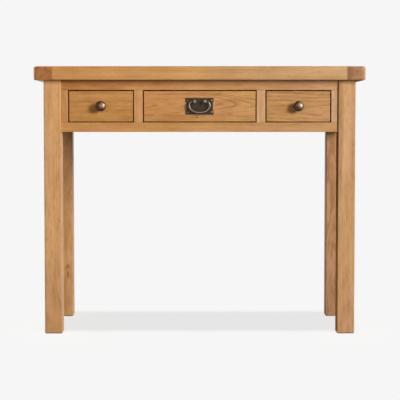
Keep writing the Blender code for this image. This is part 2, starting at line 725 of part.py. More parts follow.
def make_drawer_bottom(name, half, carrier):
    """A thin bottom that slides in grooves from behind."""
    reach = half - DRAWER_SIDE_THICKNESS + GROOVE_DEPTH - FIT
    y = (DRAWER_FRONT_THICKNESS - FRONT_GROOVE_DEPTH + FIT, DRAWER_LENGTH)
    z = (DRAWER_BOTTOM_RISE, DRAWER_BOTTOM_RISE + DRAWER_BOTTOM_THICKNESS)
    bm = box_mesh(box((-reach, reach), y, z))
    piece_name = name + "_bottom"
    place(piece_name, bm, wood(piece_name, OAK_INSIDE), (0.0, y[0], z[0]), carrier)


def make_drawer(word, x, opening_width, holes):
    """One drawer on an empty at its slide axis, and the stop that it closes against."""
    name = "drawer_" + word
    carrier = bpy.data.objects.new(name + "_slide_axis", None)
    carrier.location = (x, DRAWER_FACE_Y, OPENING_BOTTOM)
    bpy.context.scene.collection.objects.link(carrier)
    half = opening_width / 2 - DRAWER_SIDE_GAP
    make_drawer_front(name, half, carrier, holes)
    make_drawer_sides(name, half, carrier)
    make_drawer_back(name, half, carrier)
    make_drawer_bottom(name, half, carrier)
    make_stop("drawer_stop_" + word, x)
    return carrier


def knob_hole():
    """The bore in a drawer front for the screw of its knob."""
    bm = bmesh.new()
    start = (0.0, -CUT_PAST, HANDLE_Z)
    end = (0.0, DRAWER_FRONT_THICKNESS + CUT_PAST, HANDLE_Z)
    add_rod(bm, SCREW_RADIUS + FIT, start, end, "y")
    return bm


def outward(profile, face):
    """Turn (radius, distance in front of a face) into (radius, y)."""
    return [(radius, face - distance) for radius, distance in profile]


def knob_profile():
    """Section of a knob: bore, foot, neck that flares to the rim, and a round dome."""
    bore = SCREW_RADIUS + FIT
    points = [(0.0, KNOB_BORE_DEPTH), (bore, KNOB_BORE_DEPTH), (bore, 0.0)]
    points += [(KNOB_FOOT_RADIUS, 0.0), (KNOB_FOOT_RADIUS, KNOB_FOOT_THICKNESS)]
    for number in range(CURVE_STEPS + 1):
        share = number / CURVE_STEPS
        radius = KNOB_NECK_RADIUS + (KNOB_RADIUS - KNOB_NECK_RADIUS) * share ** 2
        points.append((radius, KNOB_NECK_END + (KNOB_RIM - KNOB_NECK_END) * share))
    for number in range(1, CURVE_STEPS + 1):
        angle = number / CURVE_STEPS * math.pi / 2
        points.append((KNOB_RADIUS * math.cos(angle), KNOB_RIM + KNOB_DOME * math.sin(angle)))
    points[-1] = (0.0, KNOB_RIM + KNOB_DOME)
    return points


def screw_profile():
    """Section of a pan-head screw that reaches through the drawer front into the knob."""
    face = -DRAWER_FRONT_THICKNESS - FIT
    tip = FIT + KNOB_BORE_DEPTH - SCREW_END_ROOM
    return [(0.0, tip), (SCREW_RADIUS, tip), (SCREW_RADIUS, face), (SCREW_HEAD_RADIUS, face),
            (SCREW_HEAD_RADIUS, face - SCREW_HEAD_HEIGHT / 2),
            (SCREW_HEAD_RADIUS / 2, face - SCREW_HEAD_HEIGHT), (0.0, face - SCREW_HEAD_HEIGHT)]


def make_knob(word, carrier):
    """A round knob on the middle of a side drawer, with its screw."""
    centre = (0.0, 0.0, HANDLE_Z)
    name = "knob_" + word
    bm = turned(outward(knob_profile(), -FIT), KNOB_STEPS, 0.0, HANDLE_Z)
    place(name, bm, metal(name, DARK_BRONZE), centre, carrier, smooth=True)
    name = "knob_screw_" + word
    bm = turned(outward(screw_profile(), 0.0), SHANK_STEPS, 0.0, HANDLE_Z)
    place(name, bm, metal(name, STEEL), centre, carrier, smooth=True)


def pin_places():
    """Name, x and z of the four pins in the corners of the plate."""
    places = []
    for height_word, up in (("upper", 1), ("lower", -1)):
        for side_word, side in (("left", -1), ("right", 1)):
            x = side * (PLATE_WIDTH / 2 - PIN_INSET_X)
            z = HANDLE_Z + up * (PLATE_HEIGHT / 2 - PIN_INSET_Z)
            places.append((f"plate_pin_{height_word}_{side_word}", x, z))
    return places


def post_places():
    """Name and x of the two posts that carry the bail."""
    return (("bail_post_left", -POST_SPACING / 2), ("bail_post_right", POST_SPACING / 2))


def pull_holes(start_y, pin_end, post_end):
    """Cutters for the pins and the posts of the bail pull."""
    bm = bmesh.new()
    for _, x, z in pin_places():
        add_rod(bm, PIN_RADIUS + FIT, (x, start_y, z), (x, pin_end, z), "y")
    for _, x in post_places():
        add_rod(bm, POST_SHANK_RADIUS + FIT, (x, start_y, BALL_Z), (x, post_end, BALL_Z), "y")
    return bm


def front_pull_holes():
    """Holes in the middle drawer front: blind ones for the pins, bores for the posts."""
    return pull_holes(-CUT_PAST, PIN_DEPTH + FIT, DRAWER_FRONT_THICKNESS + CUT_PAST)


def make_plate(carrier):
    """The back plate, a thin sheet whose short sides step in between two ears."""
    half_width = PLATE_WIDTH / 2
    half_height = PLATE_HEIGHT / 2
    waist = half_width - PLATE_EAR_DEPTH
    ear = half_height - PLATE_EAR_HEIGHT
    right = [(half_width, -half_height), (half_width, -ear), (waist, -ear),
             (waist, ear), (half_width, ear), (half_width, half_height)]
    outline = right + [(-x, z) for x, z in reversed(right)]
    bm = bmesh.new()
    add_prism(bm, [(x, -FIT, HANDLE_Z + z) for x, z in outline], (0.0, -PLATE_THICKNESS, 0.0))
    bm.normal_update()
    round_edges(bm, face_edges(bm, 1, -1), PLATE_ARRIS, 2)
    origin = (0.0, -FIT, HANDLE_Z)
    plate = place("bail_plate", bm, metal("bail_plate", DARK_BRONZE), origin, carrier)
    past = PLATE_FACE - CUT_PAST
    cut(plate, pull_holes(past, CUT_PAST, CUT_PAST))


def make_pins(carrier):
    """Pins with low round heads that hold the plate to the drawer front."""
    face = FIT
    profile = [(0.0, PLATE_FACE - PIN_DEPTH), (PIN_RADIUS, PLATE_FACE - PIN_DEPTH), (PIN_RADIUS, face)]
    for number in range(CURVE_STEPS):
        angle = number / CURVE_STEPS * math.pi / 2
        profile.append((PIN_HEAD_RADIUS * math.cos(angle), face + PIN_HEAD_HEIGHT * math.sin(angle)))
    profile.append((0.0, face + PIN_HEAD_HEIGHT))
    for name, x, z in pin_places():
        bm = turned(outward(profile, PLATE_FACE), SHANK_STEPS, x, z)
        place(name, bm, metal(name, WORN_BRONZE), (x, PLATE_FACE, z), carrier, smooth=True)


def post_profile():
    """Section of a ball post: threaded shank, collar on the plate, neck and ball."""
    shank_end = PLATE_FACE - DRAWER_FRONT_THICKNESS - FIT - NUT_THICKNESS
    neck_top = POST_STANDOFF - math.sqrt(BALL_RADIUS ** 2 - POST_NECK_RADIUS ** 2)
    points = [(0.0, shank_end), (POST_SHANK_RADIUS, shank_end), (POST_SHANK_RADIUS, FIT),
              (POST_COLLAR_RADIUS, FIT), (POST_COLLAR_RADIUS, FIT + POST_COLLAR_THICKNESS),
              (POST_NECK_RADIUS, FIT + POST_COLLAR_THICKNESS), (POST_NECK_RADIUS, neck_top)]
    start = math.acos((POST_STANDOFF - neck_top) / BALL_RADIUS)
    steps = 2 * CURVE_STEPS
    for number in range(1, steps):
        angle = start + (math.pi - start) * number / steps
        points.append((BALL_RADIUS * math.sin(angle), POST_STANDOFF - BALL_RADIUS * math.cos(angle)))
    points.append((0.0, POST_STANDOFF + BALL_RADIUS))
    return points


def make_posts(carrier):
    """Two ball posts, each bored from its outer side for an end of the bail, with a nut inside."""
    for name, x in post_places():
        bm = turned(outward(post_profile(), PLATE_FACE), BALL_STEPS, x, BALL_Z)
        post = place(name, bm, metal(name, WORN_BRONZE), (x, BALL_Y, BALL_Z), carrier, smooth=True)
        side = math.copysign(1.0, x)
        deep = x - side * BAIL_PIN_RADIUS
        bore = bmesh.new()
        outside = (x + side * (BALL_RADIUS + CUT_PAST), BALL_Y, BALL_Z)
        add_rod(bore, BAIL_PIN_RADIUS + BAIL_PLAY, (deep, BALL_Y, BALL_Z), outside, "x")
        cut(post, bore)
        make_nut(name.replace("post", "nut"), x, carrier)


def make_nut(name, x, carrier):
    """A hexagon nut on the end of a post, inside the drawer."""
    near = DRAWER_FRONT_THICKNESS + FIT
    far = near + NUT_THICKNESS
    bm = bmesh.new()
    add_rod(bm, NUT_ACROSS_CORNERS / 2, (x, near, BALL_Z), (x, far, BALL_Z), "y", steps=6)
    nut = place(name, bm, metal(name, STEEL), (x, near, BALL_Z), carrier)
    bore = bmesh.new()
    start = (x, near - CUT_PAST, BALL_Z)
    add_rod(bore, POST_SHANK_RADIUS + FIT, start, (x, far + CUT_PAST, BALL_Z), "y")
    cut(nut, bore)


def bail_half():
    """Points (x, drop) of the right half of the bail, from its pin to the bottom of the loop."""
    points = [(POST_SPACING / 2 + FIT, 0.0), (POST_SPACING / 2 + BALL_RADIUS, 0.0)]
    steps = CURVE_STEPS
    for number in range(steps + 1):
        angle = number / steps * math.pi / 2
        x = BAIL_SHOULDER_X + (BAIL_HALF_WIDTH - BAIL_SHOULDER_X) * math.sin(angle)
        points.append((x, BAIL_SHOULDER_DROP * (1.0 - math.cos(angle))))
    for number in range(1, steps + 3):
        angle = number / (steps + 2) * math.pi / 2
        below = (BAIL_DROP - BAIL_SHOULDER_DROP) * math.sin(angle)
        points.append((BAIL_HALF_WIDTH * math.cos(angle), BAIL_SHOULDER_DROP + below))
    return points


def make_bail(carrier):
    """The drop handle: one bent bar, thinner at its ends, hung on the line through both balls."""
    half = bail_half()
    points = half[:-1] + [(0.0, BAIL_DROP)] + [(-x, drop) for x, drop in reversed(half[:-1])]
    curve = bpy.data.curves.new("bail_handle", "CURVE")
    curve.dimensions = "3D"
    curve.bevel_depth = BAIL_MIDDLE_RADIUS
    curve.bevel_resolution = 3
    curve.use_fill_caps = True
    spline = curve.splines.new("POLY")
    spline.points.add(len(points) - 1)
    for point, (x, drop) in zip(spline.points, points):
        point.co = (x, 0.0, -drop, 1.0)
        radius = BAIL_END_RADIUS + (BAIL_MIDDLE_RADIUS - BAIL_END_RADIUS) * drop / BAIL_DROP
        if drop == 0.0 and abs(x) < BAIL_SHOULDER_X:
            radius = BAIL_PIN_RADIUS
        point.radius = radius / BAIL_MIDDLE_RADIUS
    curve.materials.append(metal("bail_handle", WORN_BRONZE))
    bail = bpy.data.objects.new("bail_handle", curve)
    bail.location = (0.0, BALL_Y, BALL_Z)
    bail.parent = carrier
    bpy.context.scene.collection.objects.link(bail)


def main():
    clear_scene()
    make_legs()
    make_side_aprons()
    make_rear_apron()
    make_front_rail("front_top_rail", OPENING_TOP, FRAME_TOP, kicker_middle(), True)
    make_front_rail("front_bottom_rail", FRAME_BOTTOM, OPENING_BOTTOM, runner_middle(), False)
    make_uprights()
    make_runners()
    make_kickers()
    make_top_ends()
    make_top_edges()
    make_top_panel()
    for word, side in (("left", -1), ("right", 1)):
        drawer = make_drawer(word, side * SIDE_DRAWER_X, SIDE_OPENING_WIDTH, knob_hole)
        make_knob(word, drawer)
    drawer = make_drawer("middle", 0.0, MIDDLE_OPENING_WIDTH, front_pull_holes)
    make_plate(drawer)
    make_pins(drawer)
    make_posts(drawer)
    make_bail(drawer)


main()
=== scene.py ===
"""Looks of an oak dressing table: its wood, its bronze and steel fittings, and a plain studio.

The file is laid out as a Blender add-on and is run as a script. Lengths are in metres, +Z is up,
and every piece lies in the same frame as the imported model.
"""

import json
import math
import random

import bmesh
import bpy
from bpy.props import FloatProperty, FloatVectorProperty, IntProperty, PointerProperty
from bpy.types import NodeSocket, Operator, Panel, PropertyGroup
from mathutils import Matrix, Vector

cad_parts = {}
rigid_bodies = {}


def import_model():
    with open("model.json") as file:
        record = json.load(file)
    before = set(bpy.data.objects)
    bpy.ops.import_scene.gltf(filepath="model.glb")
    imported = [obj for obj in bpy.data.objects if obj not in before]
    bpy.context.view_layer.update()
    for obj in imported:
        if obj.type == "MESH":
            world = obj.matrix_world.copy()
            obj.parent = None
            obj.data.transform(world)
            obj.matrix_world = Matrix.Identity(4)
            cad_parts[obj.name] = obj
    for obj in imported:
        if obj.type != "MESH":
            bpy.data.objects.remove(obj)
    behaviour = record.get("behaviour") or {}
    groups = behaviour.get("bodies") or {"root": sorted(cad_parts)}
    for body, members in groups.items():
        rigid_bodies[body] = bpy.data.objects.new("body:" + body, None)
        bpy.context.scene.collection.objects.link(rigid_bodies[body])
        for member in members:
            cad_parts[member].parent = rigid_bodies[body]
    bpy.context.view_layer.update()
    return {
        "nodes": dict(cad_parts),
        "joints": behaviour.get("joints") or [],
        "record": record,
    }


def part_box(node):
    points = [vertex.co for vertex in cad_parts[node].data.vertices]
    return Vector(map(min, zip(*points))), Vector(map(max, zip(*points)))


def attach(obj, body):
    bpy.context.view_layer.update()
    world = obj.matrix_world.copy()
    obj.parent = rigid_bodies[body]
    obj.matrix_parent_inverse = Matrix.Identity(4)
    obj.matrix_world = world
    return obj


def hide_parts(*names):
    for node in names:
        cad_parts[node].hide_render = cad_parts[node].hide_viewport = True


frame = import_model()

bl_info = {
    "name": "Oak Dressing Table",
    "version": (1, 0, 0),
    "blender": (4, 5, 0),
    "location": "3D View > Sidebar > Dressing Table",
    "description": "Oak, bronze and studio for a dressing table with three drawers",
    "category": "Object",
}

AXES = {
    "x": Vector((1, 0, 0)), "y": Vector((0, 1, 0)), "z": Vector((0, 0, 1)),
    "-x": Vector((-1, 0, 0)), "-y": Vector((0, -1, 0)), "-z": Vector((0, 0, -1)),
}

TOP_BOARDS = ("top_panel", "top_front_edge", "top_rear_edge", "top_left_end", "top_right_end")
LEGS = ("leg_front_left", "leg_front_right", "leg_rear_left", "leg_rear_right")
FRONT_FRAME = ("front_top_rail", "front_bottom_rail", "front_stile_left", "front_stile_right",
               "muntin_left", "muntin_right")
APRONS = ("side_apron_left", "side_apron_right", "rear_apron")
BEARERS = tuple(f"{kind}_{place}" for kind in ("runner", "kicker")
                for place in ("left_end", "left_muntin", "right_muntin", "right_end"))
STOPS = ("drawer_stop_left", "drawer_stop_middle", "drawer_stop_right")
DRAWERS = ("drawer_left", "drawer_middle", "drawer_right")
DRAWER_INSIDES = ("side_left", "side_right", "back", "bottom")
PINS = ("plate_pin_upper_left", "plate_pin_upper_right", "plate_pin_lower_left",
        "plate_pin_lower_right")
SIDES = (("left", -1), ("right", 1))

# Fittings: the gap between pieces that touch, the shanks of screws and posts, and the plain end
# of a shank beyond its thread
CLEARANCE = 0.0003
SHANK = 0.0020
THREAD_DEPTH = 0.0003
THREAD_END = 0.0008

# A stave width that makes a whole board one stave, and what counts as smooth, flat or one point
NO_STAVES = 10.0
SMOOTH_ANGLE = math.radians(35)
FLAT_ANGLE = math.radians(0.2)
MERGE_DISTANCE = 0.000005

# Kinds of sockets, what a group for a whole surface gives, and vectors that come often
FLOAT = "NodeSocketFloat"
VECTOR = "NodeSocketVector"
COLOUR = "NodeSocketColor"
SURFACE = {"Color": COLOUR, "Roughness": FLOAT, "Height": FLOAT}
ORIGIN = (0.0, 0.0, 0.0)
ONES = (1.0, 1.0, 1.0)

# What the parts of the figure do to the wood's own colour
YELLOW_WOOD = (1.0, 1.015, 0.94, 1.0)
GREY_WOOD = (1.0, 0.985, 1.06, 1.0)
PALE_WOOD = (1.16, 1.19, 1.26, 1.0)
DEEP_WOOD = (0.80, 0.74, 0.64, 1.0)
PORE_WOOD = (0.55, 0.44, 0.34, 1.0)
RAY_WOOD = (1.12, 1.02, 0.92, 1.0)
# Paler edges: wear, and also a painted highlight along the rounded arrises.
WORN_AND_HIGHLIT_WOOD = (1.20, 1.24, 1.32, 1.0)
END_WOOD = (0.66, 0.56, 0.50, 1.0)
MARK_LOSS = (-0.45, -0.55, -0.62)


def node_size(node):
    """Width, depth and height of a piece of the frame."""
    low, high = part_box(node)
    return high - low


def node_middle(node):
    """Middle of a piece of the frame."""
    low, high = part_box(node)
    return (low + high) / 2


def round_box(node):
    """Low corner, high corner, middle and radius of a fitting that lies along the Y axis."""
    low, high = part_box(node)
    return low, high, (low + high) / 2, (high.x - low.x) / 2


def colour_setting(name, description, default):
    """A colour that the user can change."""
    return FloatVectorProperty(name=name, description=description, default=default,
                               subtype="COLOR", size=3, min=0.0, max=1.0)


def length_setting(name, description, default, low=0.0, high=10.0):
    """A length that the user can change."""
    return FloatProperty(name=name, description=description, default=default, min=low, max=high,
                         unit="LENGTH", precision=4)


def amount_setting(name, description, default, high=4.0):
    """An amount without a unit that the user can change, such as the strength of a light."""
    return FloatProperty(name=name, description=description, default=default, min=0.0, max=high)


def share_setting(name, description, default):
    """A share between nothing and all that the user can change."""
    return FloatProperty(name=name, description=description, default=default, min=0.0, max=1.0,
                         subtype="FACTOR")


def angle_setting(name, description, default):
    """An angle that the user can change."""
    return FloatProperty(name=name, description=description, default=default, subtype="ANGLE")


class DressingTableWood(PropertyGroup):
    """Colours of the oak and the figure of its grain."""

    top: colour_setting("Top", "Long boards of the top", (0.565, 0.300, 0.120))
    end_blocks: colour_setting("End pieces", "Boards across the ends of the top", (0.56, 0.29, 0.12))
    legs: colour_setting("Legs", "The four square legs", (0.585, 0.310, 0.135))
    frame: colour_setting("Frame", "Rails, stiles, muntins and aprons", (0.530, 0.265, 0.100))
    drawers: colour_setting("Drawer fronts", "The three drawer fronts", (0.500, 0.245, 0.085))
    inside: colour_setting("Inside", "Drawer boxes, runners and kickers", (0.60, 0.40, 0.22))
    ring_width: length_setting("Ring width", "Growth of the tree in one year", 0.0024, 0.0005, 0.02)
    figure: length_setting("Figure", "How far the grain wanders", 0.018, 0.0, 0.1)
    contrast: amount_setting("Contrast", "Strength of the grain's light and dark", 1.0, 3.0)
    # The paler edges are wear, and also a painted highlight along the rounded arrises.
    worn_edge: length_setting("Worn edge", "Width of the paler edge of a board", 0.0022, 0.0, 0.02)
    edge_wear_and_highlight: share_setting("Edge wear", "How much paler the edges are", 0.35)


class DressingTableMetal(PropertyGroup):
    """Colours and fineness of the fittings."""

    dark: colour_setting("Dark bronze", "Old bronze of the plate", (0.036, 0.025, 0.0155))
    # Knob bronze is the colour of a painted highlight at the knob's upper right; the dark knob colour is
    # patina darkened into painted shade over the rest of the knob.
    knob: colour_setting("Knob bronze", "Bronze of the round knobs", (0.197, 0.134, 0.092))
    knob_dark: colour_setting("Dark knob", "Bronze of a knob away from the hand",
                              (0.045, 0.021, 0.0065))
    worn: colour_setting("Worn bronze", "Bronze rubbed bright by hands", (0.240, 0.180, 0.140))
    steel: colour_setting("Steel", "Plated steel of screws and nuts", (0.55, 0.55, 0.56))
    turned_steps: IntProperty(name="Steps of a turning", description="Faces round a turned fitting",
                              default=64, min=12, max=256)
    bail_steps: IntProperty(name="Steps of the bail", description="Faces round the bail's bar",
                            default=20, min=8, max=64)
    thread_pitch: length_setting("Thread pitch", "Rise of a thread in one turn", 0.0007, 0.0003,
                                 0.003)


class DressingTableStudio(PropertyGroup):
    """Camera, lamps and background."""

    lens: FloatProperty(name="Lens", description="Focal length of the camera", default=122.7,
                        min=20.0, max=400.0, unit="CAMERA")
    camera: FloatVectorProperty(name="Camera", description="Place of the camera",
                                default=(-0.0121, -4.1684, 0.6235), subtype="TRANSLATION")
    tilt: angle_setting("Tilt", "How far the camera looks down", 0.0583)
    turn: angle_setting("Turn", "How far the camera looks to the right", 0.0033)
    background: share_setting("Background", "Brightness of floor and backdrop", 0.922)
    sky: amount_setting("Soft light", "Even light from all sides", 0.06, 2.0)
    key: amount_setting("Key light", "Light of the near lamp at the front right", 1.10)
    fill: amount_setting("Fill light", "Light of the soft lamp at the front left", 0.17)
    overhead: amount_setting("Floor light", "Light from above that the floor takes", 0.58)
    back: amount_setting("Back light", "Light from the rear left", 0.45)
    side: amount_setting("Side light", "Light from the left", 0.35)
    sheen: amount_setting("Sheen light", "Brightness of the large pale screen", 0.8, 20.0)


class NodeSheet:
    """Adds nodes to a node tree; an input is another node's socket or a plain value."""

    def __init__(self, tree):
        self.tree = tree

    def add(self, kind, inputs=None, **settings):
        """One node of a kind, with its settings and inputs."""
        node = self.tree.nodes.new("ShaderNode" + kind)
        for name, value in settings.items():
            setattr(node, name, value)
        self.feed_all(node.inputs, inputs or {})
        return node

    def feed(self, socket, value):
        """Give an input its link or its value."""
        if isinstance(value, NodeSocket):
            self.tree.links.new(value, socket)
        else:
            socket.default_value = value

    def feed_all(self, sockets, values):
        """Give several inputs their links or values."""
        for place, value in values.items():
            self.feed(sockets[place], value)

    def math(self, operation, *values):
        """Result of a Math node."""
        return self.add("Math", dict(enumerate(values)), operation=operation).outputs[0]

    def vector(self, operation, *values):
        """Result of a Vector Math node."""
        node = self.add("VectorMath", dict(enumerate(values)), operation=operation)
        single = operation in ("LENGTH", "DOT_PRODUCT", "DISTANCE")
        return node.outputs["Value" if single else "Vector"]

    def scaled(self, vector, factor):
        """A vector times one number."""
        node = self.add("VectorMath", {"Vector": vector, "Scale": factor}, operation="SCALE")
        return node.outputs["Vector"]

    def centred(self, vector):
        """A vector of parts between 0 and 1, moved to lie about zero."""
        return self.vector("SUBTRACT", vector, (0.5, 0.5, 0.5))

    def parts(self, vector):
        """The three parts of a vector."""
        return self.add("SeparateXYZ", {0: vector}).outputs

    def joined(self, x, y, z):
        """A vector from three parts."""
        return self.add("CombineXYZ", {0: x, 1: y, 2: z}).outputs[0]

    def ease(self, value, low, high, start=0.0, end=1.0):
        """A smooth step from start to end while the value goes from low to high."""
        inputs = {"Value": value, "From Min": low, "From Max": high, "To Min": start, "To Max": end}
        return self.add("MapRange", inputs, interpolation_type="SMOOTHSTEP").outputs["Result"]

    def noise(self, vector, detail, roughness=0.5):
        """Outputs of a noise texture at its own scale of one."""
        inputs = {"Vector": vector, "Scale": 1.0, "Detail": detail, "Roughness": roughness}
        return self.add("TexNoise", inputs).outputs

    def mix(self, factor, first, second, blend="MIX"):
        """Two colours mixed."""
        inputs = {0: factor, 6: first, 7: second}
        return self.add("Mix", inputs, data_type="RGBA", blend_type=blend).outputs[2]

    def multiplied(self, colour, tone):
        """A colour times another."""
        return self.mix(1.0, colour, tone, "MULTIPLY")


def socket_kind(value):
    """The kind of group socket that takes a value."""
    if not isinstance(value, tuple):
        return FLOAT
    return COLOUR if len(value) == 4 else VECTOR


def new_group(name, inputs, outputs):
    """An empty node group with named sockets, as its sheet, its inputs and its outputs."""
    group = bpy.data.node_groups.new(name, "ShaderNodeTree")
    for label, value in inputs.items():
        socket = group.interface.new_socket(label, in_out="INPUT", socket_type=socket_kind(value))
        socket.default_value = value
    for label, kind in outputs.items():
        group.interface.new_socket(label, in_out="OUTPUT", socket_type=kind)
    given = group.nodes.new("NodeGroupInput").outputs
    return NodeSheet(group), given, group.nodes.new("NodeGroupOutput").inputs


def place_group(sheet, name, build, inputs):
    """Outputs of a node group in a material; the group is built the first time."""
    group = bpy.data.node_groups.get(name) or build(name)
    return sheet.add("Group", inputs, node_tree=group).outputs


def build_worn_and_highlit_edges(name):
    """Group that finds the edges of a board from its half size."""
    sheet, given, result = new_group(name, {
        "Vector": ORIGIN, "Half Size": (0.1, 0.1, 0.1), "Width": 0.002, "Seed": 0.0}, {"Edge": FLOAT})
    inside = sheet.vector("SUBTRACT", given["Half Size"], sheet.vector("ABSOLUTE", given["Vector"]))
    first, second, third = sheet.parts(inside)
    lower = sheet.math("MINIMUM", first, second)
    upper = sheet.math("MAXIMUM", first, second)
    middle = sheet.math("MAXIMUM", lower, sheet.math("MINIMUM", upper, third))
    drift = sheet.joined(given["Seed"], given["Seed"], 0.0)
    patches = sheet.noise(sheet.vector("ADD", sheet.scaled(given["Vector"], 22.0), drift), 2.0)
    width = sheet.math("MULTIPLY", given["Width"], sheet.ease(patches["Fac"], 0.3, 0.7, 0.4, 1.7))
    sheet.feed(result["Edge"], sheet.math("SUBTRACT", 1.0, sheet.ease(middle, 0.0, width)))
    return sheet.tree


def build_oak_board(name):
    """Group for solid oak: yearly rings about the tree's centre, pores, rays, streaks and staves.

    The grain runs along the vector's x, y goes across the board and z out of its face.
    """
    sheet, given, result = new_group(name, {
        "Vector": ORIGIN, "End Grain": 0.0, "Edge": 0.0, "Mark": 0.0, "Seed": 0.0,
        "Wood": (0.5, 0.25, 0.1, 1.0), "Far Wood": (0.5, 0.25, 0.1, 1.0), "Half Length": 0.5,
        "Pith": (0.0, 0.0, -0.06), "Lean": ORIGIN, "Stave Width": NO_STAVES, "Ring Width": 0.0024,
        "Figure": 0.018, "Contrast": 1.0, "Patches": 1.0}, SURFACE)
    along, across, outward = sheet.parts(given["Vector"])
    near_end = sheet.math("MULTIPLY", given["Half Length"], -1.0)
    drifted = sheet.ease(along, near_end, given["Half Length"])
    wood = sheet.mix(drifted, given["Wood"], given["Far Wood"])

    # Staves of a glued board, each from another place in the tree
    stave = sheet.math("ADD", sheet.math("DIVIDE", across, given["Stave Width"]), 0.5)
    stave = sheet.math("FLOOR", stave)
    chance = sheet.add("TexWhiteNoise", {"Vector": sheet.joined(stave, given["Seed"], 0.0)},
                       noise_dimensions="2D").outputs["Color"]
    swing = sheet.centred(chance)
    within = sheet.math("SUBTRACT", across, sheet.math("MULTIPLY", stave, given["Stave Width"]))
    point = sheet.joined(along, within, outward)
    drift = sheet.scaled((1.37, 0.71, 0.53), given["Seed"])
    drift = sheet.vector("ADD", drift, sheet.scaled(chance, 3.0))
    seeded = sheet.vector("ADD", point, drift)

    def field(lengthwise, crosswise, detail, roughness=0.5):
        scale = (lengthwise, crosswise, crosswise)
        return sheet.noise(sheet.vector("MULTIPLY", seeded, scale), detail, roughness)

    def shifted(colour, amount):
        return sheet.scaled(sheet.centred(colour), sheet.math("MULTIPLY", given["Figure"], amount))

    # Yearly rings about a centre line that wanders
    wander = shifted(field(2.6, 6.0, 2.0, 0.4)["Color"], 2.0)
    ripple = shifted(field(11.0, 36.0, 1.0)["Color"], 0.14)
    core = sheet.vector("ADD", given["Pith"], sheet.scaled(given["Lean"], along))
    core = sheet.vector("ADD", core, sheet.vector("MULTIPLY", swing, (0.0, 0.030, 0.020)))
    reach = sheet.vector("SUBTRACT", point, core)
    reach = sheet.vector("ADD", sheet.vector("ADD", reach, wander), ripple)
    reach = sheet.vector("MULTIPLY", reach, (0.0, 1.0, 1.0))
    radius = sheet.vector("LENGTH", reach)
    rings = sheet.math("DIVIDE", radius, given["Ring Width"])
    part = sheet.math("FRACT", rings)
    ring = sheet.math("ADD", sheet.math("FLOOR", rings), given["Seed"])
    ring_chance = sheet.add("TexWhiteNoise", {"W": ring}, noise_dimensions="1D").outputs["Value"]
    early = sheet.math("MAXIMUM", sheet.ease(part, 0.08, 0.60, 1.0, 0.0), sheet.ease(part, 0.92, 1.0))
    early = sheet.math("MULTIPLY", early, sheet.ease(ring_chance, 0.0, 1.0, 0.45, 1.0))

    # Pores, most of them in the early wood, and rays that run out from the centre
    pores = sheet.math("MULTIPLY", sheet.ease(field(38.0, 1050.0, 1.0, 0.6)["Fac"], 0.53, 0.62),
                       sheet.math("MULTIPLY_ADD", early, 0.8, 0.2))
    _, reach_across, reach_out = sheet.parts(reach)
    angle = sheet.math("ARCTAN2", reach_out, reach_across)
    ray_point = sheet.joined(
        sheet.math("MULTIPLY", along, 75.0), sheet.math("MULTIPLY", angle, 80.0),
        sheet.math("MULTIPLY_ADD", radius, 28.0, given["Seed"]))
    rays = sheet.ease(sheet.noise(ray_point, 0.0)["Fac"], 0.62, 0.70)

    # Light and dark along the grain, from broad clouds to fine hairs
    streaks = field(2.4, 80.0, 2.0, 0.6)["Fac"]
    bands = field(3.6, 170.0, 2.0, 0.6)["Fac"]
    hairs = field(9.0, 430.0, 2.0, 0.7)["Fac"]
    clouds = field(2.2, 9.0, 1.0)["Fac"]
    patches = field(16.0, 60.0, 1.0, 0.6)["Fac"]
    flecks = sheet.ease(field(55.0, 230.0, 1.0, 0.6)["Fac"], 0.57, 0.69)
    darkness = sheet.math("MULTIPLY_ADD", early, 0.42, -0.19)
    fleck_strength = sheet.math("MULTIPLY", given["Patches"], 0.24)
    darkness = sheet.math("MULTIPLY_ADD", flecks, fleck_strength, darkness)
    patchy = sheet.math("MULTIPLY", given["Patches"], 0.9)
    for value, strength in (
            (streaks, 1.0), (bands, 0.60), (hairs, 0.75), (clouds, 0.55), (patches, patchy)):
        value = sheet.math("MULTIPLY", sheet.math("SUBTRACT", value, 0.5), strength)
        darkness = sheet.math("ADD", darkness, value)
    darkness = sheet.math("MULTIPLY_ADD", darkness, given["Contrast"], 0.42)

    hue = sheet.ease(field(3.2, 26.0, 2.0)["Fac"], 0.35, 0.65)
    wood = sheet.multiplied(wood, sheet.mix(hue, YELLOW_WOOD, GREY_WOOD))
    colour = sheet.mix(darkness, sheet.multiplied(wood, PALE_WOOD), sheet.multiplied(wood, DEEP_WOOD))
    colour = sheet.mix(sheet.math("MULTIPLY", pores, 0.55), colour, sheet.multiplied(wood, PORE_WOOD))
    colour = sheet.mix(sheet.math("MULTIPLY", rays, 0.30), colour, sheet.multiplied(wood, RAY_WOOD))
    marked = sheet.vector("MULTIPLY_ADD", given["Mark"], MARK_LOSS, ONES)
    colour = sheet.multiplied(colour, marked)
    _, _, tone = sheet.parts(swing)
    stave_tone = sheet.math("MULTIPLY_ADD", tone, 0.14, 1.0)
    colour = sheet.multiplied(colour, sheet.joined(stave_tone, stave_tone, stave_tone))
    # Paler edges: wear, and also a painted highlight along the rounded arrises.
    colour = sheet.mix(given["Edge"], colour, sheet.multiplied(colour, WORN_AND_HIGHLIT_WOOD))
    end = sheet.ease(given["End Grain"], 0.55, 0.95)
    colour = sheet.mix(end, colour, sheet.multiplied(colour, END_WOOD))

    rough = sheet.math("MULTIPLY_ADD", pores, 0.18, 0.42)
    rough = sheet.math("ADD", rough, sheet.math("MULTIPLY", sheet.math("SUBTRACT", hairs, 0.5), 0.20))
    rough = sheet.math("MULTIPLY_ADD", rays, -0.06, rough)
    rough = sheet.math("MULTIPLY_ADD", end, 0.14, rough)
    height = sheet.math("MULTIPLY", pores, -1.0)
    height = sheet.math("MULTIPLY_ADD", early, -0.25, height)
    height = sheet.math("MULTIPLY_ADD", hairs, 0.45, height)
    sheet.feed_all(result, {"Color": colour, "Roughness": rough, "Height": height})
    return sheet.tree


